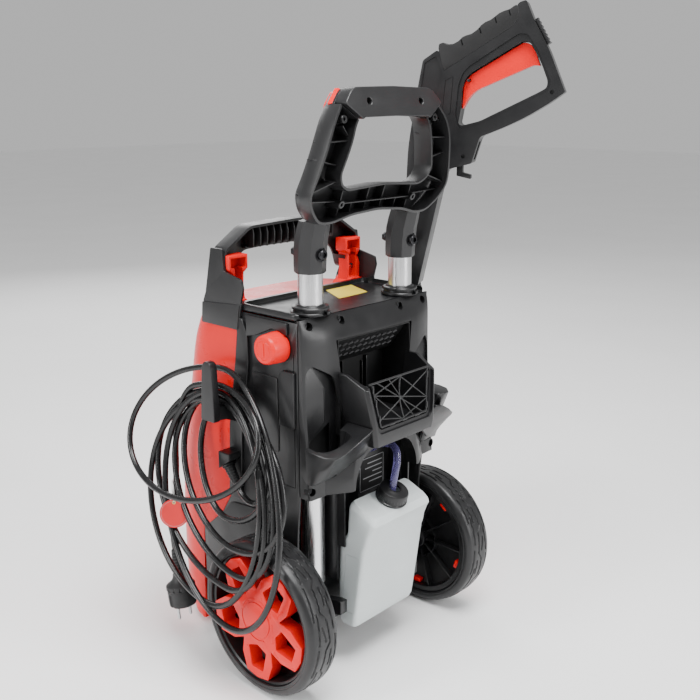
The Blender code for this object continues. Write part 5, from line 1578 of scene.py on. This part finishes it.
def carry_arch():
    """The carry handle: an arch with a ribbed hollow underside and a plate down each side."""
    outer = mm((121.5, 490), (121.5, 540), (79, 567), (0, 569.5))
    inner = mm((0, 537), (74, 534), (93, 514), (100, 490))
    outline = outer + [(-x, z) for x, z in outer[-2::-1]] + [(-x, z) for x, z in inner[:0:-1]] + inner
    arch = prism("arch_bar", rounded(outline, 0.008, 5), "y", -0.129, -0.105)
    well = mm((118.5, 496), (118.5, 538), (77.5, 563.6), (0, 566))
    bed = mm((0, 530), (75, 528.5), (95, 509), (104, 496))
    hollow = well + [(-x, z) for x, z in well[-2::-1]] + [(-x, z) for x, z in bed[:0:-1]] + bed
    space = prism("arch_hollow", rounded(hollow, 0.005, 4), "y", -0.1255, -0.09)
    cut(arch, space)
    pieces = [bake(bevel(bake(arch), 0.0022, 4, 35))]
    for k in range(13):
        x = -0.072 + 0.012 * k
        rib = mm((-126.5, 537.5), (-107, 538.5), (-106, 556), (-109, 565.5), (-126.5, 567))
        pieces.append(slab(f"arch_rib_{k}", rib, "x", x - 0.0009, x + 0.0009, 0.0003, 2))
    floor_plate = mm((-76, 536.8), (76, 536.8), (76, 539.2), (-76, 539.2))
    pieces.append(slab("arch_sill", floor_plate, "y", -0.1265, -0.118, 0.0004, 2))
    plate = mm((-149.5, 448), (-146.6, 474.5), (-141.7, 485), (-129, 542.5), (-107.5, 542.5), (-104.5, 515),
               (-72.5, 508), (-70, 497), (-75, 479), (-74.5, 477), (-81, 446))
    band = mm((-150.2, 445), (-147.8, 472), (-76.5, 477), (-81.5, 445))
    for side in (1, -1):
        low, high = span(side, 0.1213, 0.1246)
        pieces.append(slab("carry_plate", rounded(plate, 0.002, 3), "x", low, high, 0.0011, 3))
        low, high = span(side, 0.1213, 0.1258)
        pieces.append(slab("carry_band", rounded(band, 0.002, 3), "x", low, high, 0.0011, 3))
    shown(merged("carry_arch", pieces), CHARCOAL, "machine", "grey_plastic", "carry_handle")


def lid():
    """The lid: a soft-edged rim round a sunken deck, and stacked collars for the handle tubes."""
    outline = mirrored(mm((0, -91.5), (110, -91.5), (120.5, -82), (120.5, 14), (112, 21), (0, 21)))
    body = prism("lid_body", rounded(outline, 0.004, 4), "z", TOP_Z - 0.003, TOP_Z + 0.006)
    bake(bevel(body, 0.003, 4, 40))
    sunk = mirrored(mm((0, -83), (108, -83), (115.5, -75), (115.5, 30), (0, 30)))
    well = bake(bevel(prism("lid_well", rounded(sunk, 0.005, 4), "z", TOP_Z, TOP_Z + 0.02), 0.0015, 3))
    cut(body, well)
    for side in (1, -1):
        at_x = side * TUBE_X
        cut(body, rod("tube_hole", (at_x, TUBE_Y, 0.4), (at_x, TUBE_Y, 0.5), 0.0165, 64),
            rod("collar_seat", (at_x, TUBE_Y, TOP_Z - 0.0002), (at_x, TUBE_Y, 0.5), 0.0252, 96))
    for x in (-0.11, 0.11):
        cut(body, rod("lid_screw", (x, -0.078, TOP_Z - 0.002), (x, -0.078, TOP_Z + 0.02), 0.0035, 32))
    black(bake(body), "top_cover")
    for side, word in SIDES:
        bore = TUBE_R + 0.0004
        profile = [(bore, 0.4725), (0.0238, 0.4725), (0.0246, 0.4735), (0.0246, 0.4755), (0.0238, 0.4765),
                   (0.0212, 0.4768), (0.0212, 0.4788), (0.0228, 0.4796), (0.023, 0.4812),
                   (0.022, 0.4822), (0.0192, 0.4826), (0.0176, 0.4838), (0.0172, 0.4845), (bore, 0.4845)]
        ring = turned(f"collar_{word}", profile, (side * TUBE_X, TUBE_Y, 0), "z", 96)
        cut(ring, block("collar_slot", (side * TUBE_X - 0.004, TUBE_Y + 0.02, 0.4735),
                        (side * TUBE_X + 0.004, TUBE_Y + 0.03, 0.479)))
        black(bake(ring), f"tube_collar_{word}")
    label = mm((-31, -80), (-82, -80.5), (-61, -32), (-4, -30))
    shown(slab("yellow_label", rounded(label, 0.002, 3), "z", TOP_Z, TOP_Z + 0.0004, 0.0001, 1), YELLOW,
          "machine", "tag_card")


def knob():
    """The rotary knob: a rounded cap with a ring and a plain raised grip."""
    face = 0.148
    profile = [(0.0001, 0.1216), (0.0186, 0.1216), (0.0192, 0.1222), (0.019, 0.13), (0.018, 0.143),
               (0.0172, 0.1462), (0.0158, 0.1476), (0.014, face), (0.0126, face), (0.0118, 0.1474),
               (0.0108, 0.1474), (0.01, 0.1479), (0.0001, 0.1479)]
    cap = turned("knob_cap", profile, (0, KNOB_Y, KNOB_Z), "x", 96)
    ridge = [(KNOB_Y - 0.0017, KNOB_Z - 0.0075), (KNOB_Y + 0.0017, KNOB_Z - 0.0075),
             (KNOB_Y + 0.0013, KNOB_Z + 0.0085), (KNOB_Y - 0.0013, KNOB_Z + 0.0085)]
    grip = slab("knob_grip", rounded(ridge, 0.001, 3), "x", 0.147, 0.1488, 0.0005, 3)
    stem = rod("knob_shaft", (0.108, KNOB_Y, KNOB_Z), (0.123, KNOB_Y, KNOB_Z), 0.0042, 32)
    shown(merged("knob_turn", [cap, grip, stem]), RED, "switch_knob", "red_plastic", "power_knob")


def hook():
    """The arm and upright lip that the lead hangs on."""
    lip = mm((-105, 334.5), (-79, 334.5), (-79.5, 356), (-81.5, 404), (-85, 411), (-96, 411), (-100, 404),
             (-103.5, 356))
    upright = slab("hook_lip", rounded(lip, [0.003, 0.003, 0.01, 0.003, 0.004, 0.004, 0.003, 0.01], 4), "x",
                   0.1592, 0.169, 0.0024, 4)
    arm = [(BODY_HALF - 0.0005, 0.33), (BODY_HALF - 0.0005, 0.352), (0.161, 0.352), (0.161, 0.336),
           (0.136, 0.333)]
    beam = slab("hook_beam", rounded(arm, 0.002, 3), "y", -0.1015, -0.0815, 0.0016, 3)
    web = slab("hook_web", [(BODY_HALF - 0.0005, 0.322), (BODY_HALF - 0.0005, 0.333), (0.15, 0.335)],
               "y", -0.093, -0.09, 0.0004, 2)
    black(merged("hook", [upright, beam, web]), "cable_hook")


def body_shells():
    front_body()
    lower_panel()
    left_wall()
    right_wall()
    carry_arch()
    lid()
    knob()
    hook()


# Detergent bottle and its hose

NECK = Vector((0, 0.0635, 0.2225))
NECK_UP = Vector((0, 0.371, 0.928)).normalized()
CAP_RIBS = 30


def tank_ring(half, front, rear, z, slope=0.0, radius=0.007):
    plan = [(half, front), (half, rear), (-half, rear), (-half, front)]
    return [(x, y, z - slope * (y - front)) for x, y in rounded(plan, radius, 6)]


TANK = ((0.0535, 0.032, 0.051, 0.055, 0.0), (0.058, 0.029, 0.0535, 0.0575, 0.0),
        (0.0602, 0.0272, 0.0558, 0.0635, 0.0), (0.0605, 0.0268, 0.0575, 0.075, 0.0),
        (0.0605, 0.0265, 0.064, 0.12, 0.0), (0.0603, 0.0275, 0.0695, 0.16, 0.0),
        (0.0602, 0.0285, 0.071, 0.171, 0.0), (0.0598, 0.032, 0.0735, 0.177, 0.0),
        (0.0592, 0.0385, 0.0752, 0.184, 0.0), (0.059, 0.04, 0.0762, 0.189, 0.0),
        (0.0582, 0.0405, 0.081, 0.208, 0.20), (0.0575, 0.041, 0.0845, 0.223, 0.38),
        (0.0562, 0.042, 0.0842, 0.2275, 0.40), (0.053, 0.045, 0.0815, 0.231, 0.40))


def tank():
    """The blown bottle: one translucent wall with soft corners, panel lines and a threaded neck."""
    outside = loft("tank_outside", [tank_ring(h, f, r, z, s) for h, f, r, z, s in TANK])
    bake(outside)
    neck = rod("tank_neck", NECK - NECK_UP * 0.006, NECK + NECK_UP * 0.016, 0.0164, 72)
    join(outside, neck)
    for k in range(3):
        foot = NECK + NECK_UP * (0.0035 + 0.004 * k)
        thread = rod("neck_thread", foot, foot + NECK_UP * 0.0014, 0.0167, 72)
        join(outside, thread)
    for side in (1, -1):
        panel = rounded(mm((33.5, 76), (56, 78), (64, 160), (40, 160)), 0.004, 4)
        line = inset(panel, 0.0012)
        low, high = span(side, 0.0598, 0.07)
        cut(outside, prism("panel_line", panel, "x", low, high, [line]))
    bake(outside)
    inside = [tank_ring(h - 0.0018, f + 0.0018, r - 0.0018, z, s, 0.0055) for h, f, r, z, s in TANK[1:-1]]
    cut(outside, bake(loft("tank_inside", inside)))
    cut(outside, rod("tank_mouth", NECK - NECK_UP * 0.012, NECK + NECK_UP * 0.02, 0.014, 72))
    shown(outside, MILKY, "bottle", "bottle_plastic", "detergent_bottle")


def cap():
    """A ribbed screw cap with a spigot that the hose passes through."""
    turn = NECK_UP.to_track_quat("Z", "Y").to_matrix().to_4x4()
    place = TO_FRAME @ Matrix.Translation(NECK) @ turn
    profile = mm((16.9, 1.5), (20.6, 1.5), (21, 2.2), (21, 4), (20, 4.6), (19.8, 15), (18.8, 16.8),
                 (15, 18), (12, 18.2), (10.6, 19), (7.4, 19), (7.4, 16.4), (16.9, 16.4))
    shell = turned("cap_shell", profile, (0, 0, 0), "z", 120, place)
    pieces = [shell]
    for k in range(CAP_RIBS):
        a = math.tau * k / CAP_RIBS
        c, s = math.cos(a), math.sin(a)
        pieces.append(rod("cap_rib", (0.0198 * c, 0.0198 * s, 0.0046), (0.019 * c, 0.019 * s, 0.0152),
                          0.0007, 8, matrix=place))
    whole = merged("screw_cap", pieces, place)
    shown(whole, BLACK, "cap", "black_plastic", "bottle_cap")


def bottle():
    tank()
    cap()


# Plug, tag, gland and small fittings

PLUG_TOP = Vector((0.165, -0.1786, 0.1301))
PLUG_AXIS = Vector((0.0, 0.16, -0.987)).normalized()
PLUG_FLUTES = 14


def plug():
    """A two-pin round plug: ribbed tapered tail, waisted neck, flange, body and split pins."""
    turn = PLUG_AXIS.to_track_quat("Z", "Y").to_matrix().to_4x4()
    place = TO_FRAME @ Matrix.Translation(PLUG_TOP) @ turn
    tail = [(0.0043, 0.0)]
    for k in range(8):
        z = 0.0016 + 0.0042 * k
        r = 0.0056 + 0.0022 * k / 8
        tail += [(r, z), (r, z + 0.0026), (r - 0.0012, z + 0.003), (r - 0.0012, z + 0.004)]
    body = tail + mm((8.5, 35), (8.8, 39), (11, 43), (15, 46.5), (18.2, 48.5), (19.6, 50), (19.8, 55),
                     (19, 56.2), (18.6, 57), (19, 58), (18.8, 70), (18.2, 77.5), (17.2, 78.8), (0.1, 79),
                     (0.1, 0))
    shell = turned("plug_shell", body, (0, 0, 0), "z", 96, place)
    for k in range(PLUG_FLUTES):
        a = math.tau * k / PLUG_FLUTES
        c, s = math.cos(a), math.sin(a)
        cut(shell, rod("plug_flute", (0.0212 * c, 0.0212 * s, 0.0495), (0.0205 * c, 0.0205 * s, 0.0555),
                       0.0022, 16, matrix=place))
    for side in (1, -1):
        cut(shell, rod("earth_groove", (side * 0.0195, 0, 0.06), (side * 0.019, 0, 0.08), 0.0032, 24,
                       matrix=place))
    shown(bake(shell), RUBBER, "machine", "rubber", "mains_plug").name = "plug_body"
    side = PLUG_AXIS.cross(Vector((1, 0, 0))).cross(PLUG_AXIS).normalized()
    pins = []
    for k in (1, -1):
        foot = PLUG_TOP + side * 0.0095 * k
        pins.append(rod("pin_sleeve", foot + PLUG_AXIS * 0.078, foot + PLUG_AXIS * 0.086, 0.0023, 32))
        pins.append(rod("pin", foot + PLUG_AXIS * 0.078, foot + PLUG_AXIS * 0.0965, 0.0021, 32))
        pins.append(rod("pin_tip", foot + PLUG_AXIS * 0.0965, foot + PLUG_AXIS * 0.0978, 0.0021, 32, 0.0011))
    return [shell, shown(merged("plug_pins", pins), STEEL, "machine", "steel")]


def ribbed_gland():
    """The strain relief: a collar, then rings that get smaller down its tapered tail."""
    slant = math.asin(GLAND_AXIS.y)
    place = TO_FRAME @ Matrix.Translation(GLAND_FOOT) @ Matrix.Rotation(slant, 4, "X")
    bore = CORD_R + 0.0007
    outside = [(bore, 0.007), (0.0074, 0.007), (0.0074, -0.0003), (0.0086, -0.0003), (0.009, -0.0008),
               (0.009, -0.0026), (0.0084, -0.0032)]
    for k in range(6):
        z = -0.0036 - 0.0037 * k
        r = 0.0074 - 0.00032 * k
        outside += [(r, z), (r, z - 0.0024), (r - 0.0009, z - 0.0027), (r - 0.0009, z - 0.0034)]
    outside += [(bore, -0.026)]
    black(turned("gland_rings", outside, (0, 0, 0), "z", 64, place), "cord_gland")


TAG_MIDDLE = Vector((0.19, -0.142, 0.202))
TAG_FACING = Vector((0.74, 0.66, 0.12)).normalized()


def tag():
    """A plain round card with an eyelet, hung from the loose loop by a loop of white thread."""
    turn = TAG_FACING.to_track_quat("Z", "Y").to_matrix().to_4x4()
    place = TO_FRAME @ Matrix.Translation(TAG_MIDDLE) @ turn
    ring = [(0.019 * math.cos(math.tau * k / 72), 0.019 * math.sin(math.tau * k / 72)) for k in range(72)]
    hole = [(0.0016 * math.cos(math.tau * k / 20), 0.015 + 0.0016 * math.sin(math.tau * k / 20))
            for k in range(20)]
    card = prism("tag_round", ring, "z", -0.0004, 0.0004, [hole], place)
    pieces = [shown(bevel(card, 0.0001, 1), CARD, "machine", "tag_card", "hang_tag")]
    rim = turned("tag_rim", mm((16.8, 0.3), (17.2, 0.3), (17.2, 0.52), (16.8, 0.52)),
                 (0, 0, 0), "z", 72, place)
    pieces.append(shown(rim, PALE, "machine", "tag_card"))
    eye = turned("tag_eyelet", mm((1.4, -0.6), (2.4, -0.6), (2.4, 0.7), (1.4, 0.7)),
                 (0, 0.015, 0), "z", 32, place)
    pieces.append(shown(eye, BRASS, "machine", "brass"))
    lift = place @ Vector((0, 0.015, 0)) - SHIFT
    top = Vector((0.1905, -0.142, 0.244))
    near, far = Vector((0.0028, 0.0025, 0)), Vector((-0.003, -0.0028, 0))
    for i, off in enumerate((near, far)):
        route, _ = smooth_path([lift, lift.lerp(top, 0.35) + off, lift.lerp(top, 0.75) + off * 1.3,
                                top + off * 0.4 + Vector((0, 0, 0.004)), top + Vector((0, 0, 0.006))], 0.004)
        thread = tube(f"tag_thread_{i}", route, 0.00045, 2)
        thread.data.materials.append(WHITE)
        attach(thread, "machine")
        pieces.append(thread)
    return pieces


HOSE_ROUTE = mm((-1.2, 65.8, 239), (-4.2, 66.8, 257), (-8.5, 66.2, 271.1), (-14, 60.5, 283.5),
                (-16.5, 49, 289), (-13, 33, 286), (-5, 19, 278), (0, 6, 275))
HOSE_LOW = Vector((0.0, 0.0655, 0.2275))
HOSE_R = 0.0048
HOSE_SIDES = 40


def hose():
    """The clear suction hose, bending out of the cap and into the wall."""
    points, _ = smooth_path([HOSE_LOW] + HOSE_ROUTE, 0.0022)
    bm = bmesh.new()
    rows = []
    for i, p in enumerate(points):
        along = (points[min(i + 1, len(points) - 1)] - points[max(i - 1, 0)]).normalized()
        out = along.cross(Vector((1, 0, 0))).normalized()
        up = out.cross(along)
        rows.append([bm.verts.new(p + (up * math.cos(a) + out * math.sin(a)) * HOSE_R)
                     for a in (math.tau * k / HOSE_SIDES for k in range(HOSE_SIDES))])
    skin(bm, rows)
    bm.faces.new(rows[0])
    bm.faces.new(rows[-1])
    pipe = as_object(bm, "suction_pipe")
    pipe.data.materials.append(CLEAR)
    pipe.data.transform(pipe.matrix_world)
    pipe.matrix_world = Matrix.Identity(4)
    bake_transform(pipe)
    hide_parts("suction_hose")


def holster():
    """The ring on the right wall that the lance drops through, with its arm and rib."""
    x, y = GUN_FOOT.x, GUN_FOOT.y
    ring = turned("holster_ring", mm((16, 405.2), (19.2, 405.2), (19.7, 406), (19.7, 409), (18.8, 410),
                                     (18.8, 445), (19.7, 446), (19.7, 449.2), (19.2, 450), (16.4, 450),
                                     (16, 449.4)),
                  (x, y, 0), "z", 96)
    inner, outer = -BODY_HALF - 0.0003, x + 0.0175
    beam = [(outer, 0.412), (inner, 0.408), (inner, 0.448), (outer, 0.444)]
    arm = slab("holster_beam", beam, "y", y - 0.0075, y + 0.0075, 0.0008, 3)
    black(merged("holster", [ring, arm]), "gun_holster")


def fittings():
    ribbed_gland()
    hose()
    holster()


# Everything

LOOKS = {"red_plastic": RED, "black_plastic": BLACK, "grey_plastic": CHARCOAL,
         "handle_aluminium": ALUMINIUM, "cast_aluminium": CASTING, "steel": STEEL,
         "laminated_steel": STEEL, "winding_copper": COPPER, "brass": BRASS, "tyre_rubber": TYRE,
         "rubber": RUBBER, "cable_rubber": SHEATH, "bottle_plastic": MILKY, "hose_plastic": CLEAR,
         "tag_card": CARD}


def carried_over():
    """The CAD nodes that stay get their slot's finish and softened edges."""
    for part in frame["record"]["subparts"]:
        node = frame["nodes"][part["node"]]
        node.data.materials.clear()
        look = DARK_STEEL if part["node"] == "gun_trigger_pin" else LOOKS[part["material_slot"]]
        node.data.materials.append(look)
        if node.hide_render:
            continue
        weld = node.modifiers.new("weld", "WELD")
        weld.merge_threshold = 0.00002
        bevel(node, 0.0007, 2)
        node.data.shade_smooth()


def build():
    camera()
    floor()
    lights()
    mains_lead()
    transport_handle()
    rear_cover()
    recess_lining()
    bin_grille()
    chassis()
    wheels()
    spray_gun()
    body_shells()
    bottle()
    fittings()
    carried_over()


build()
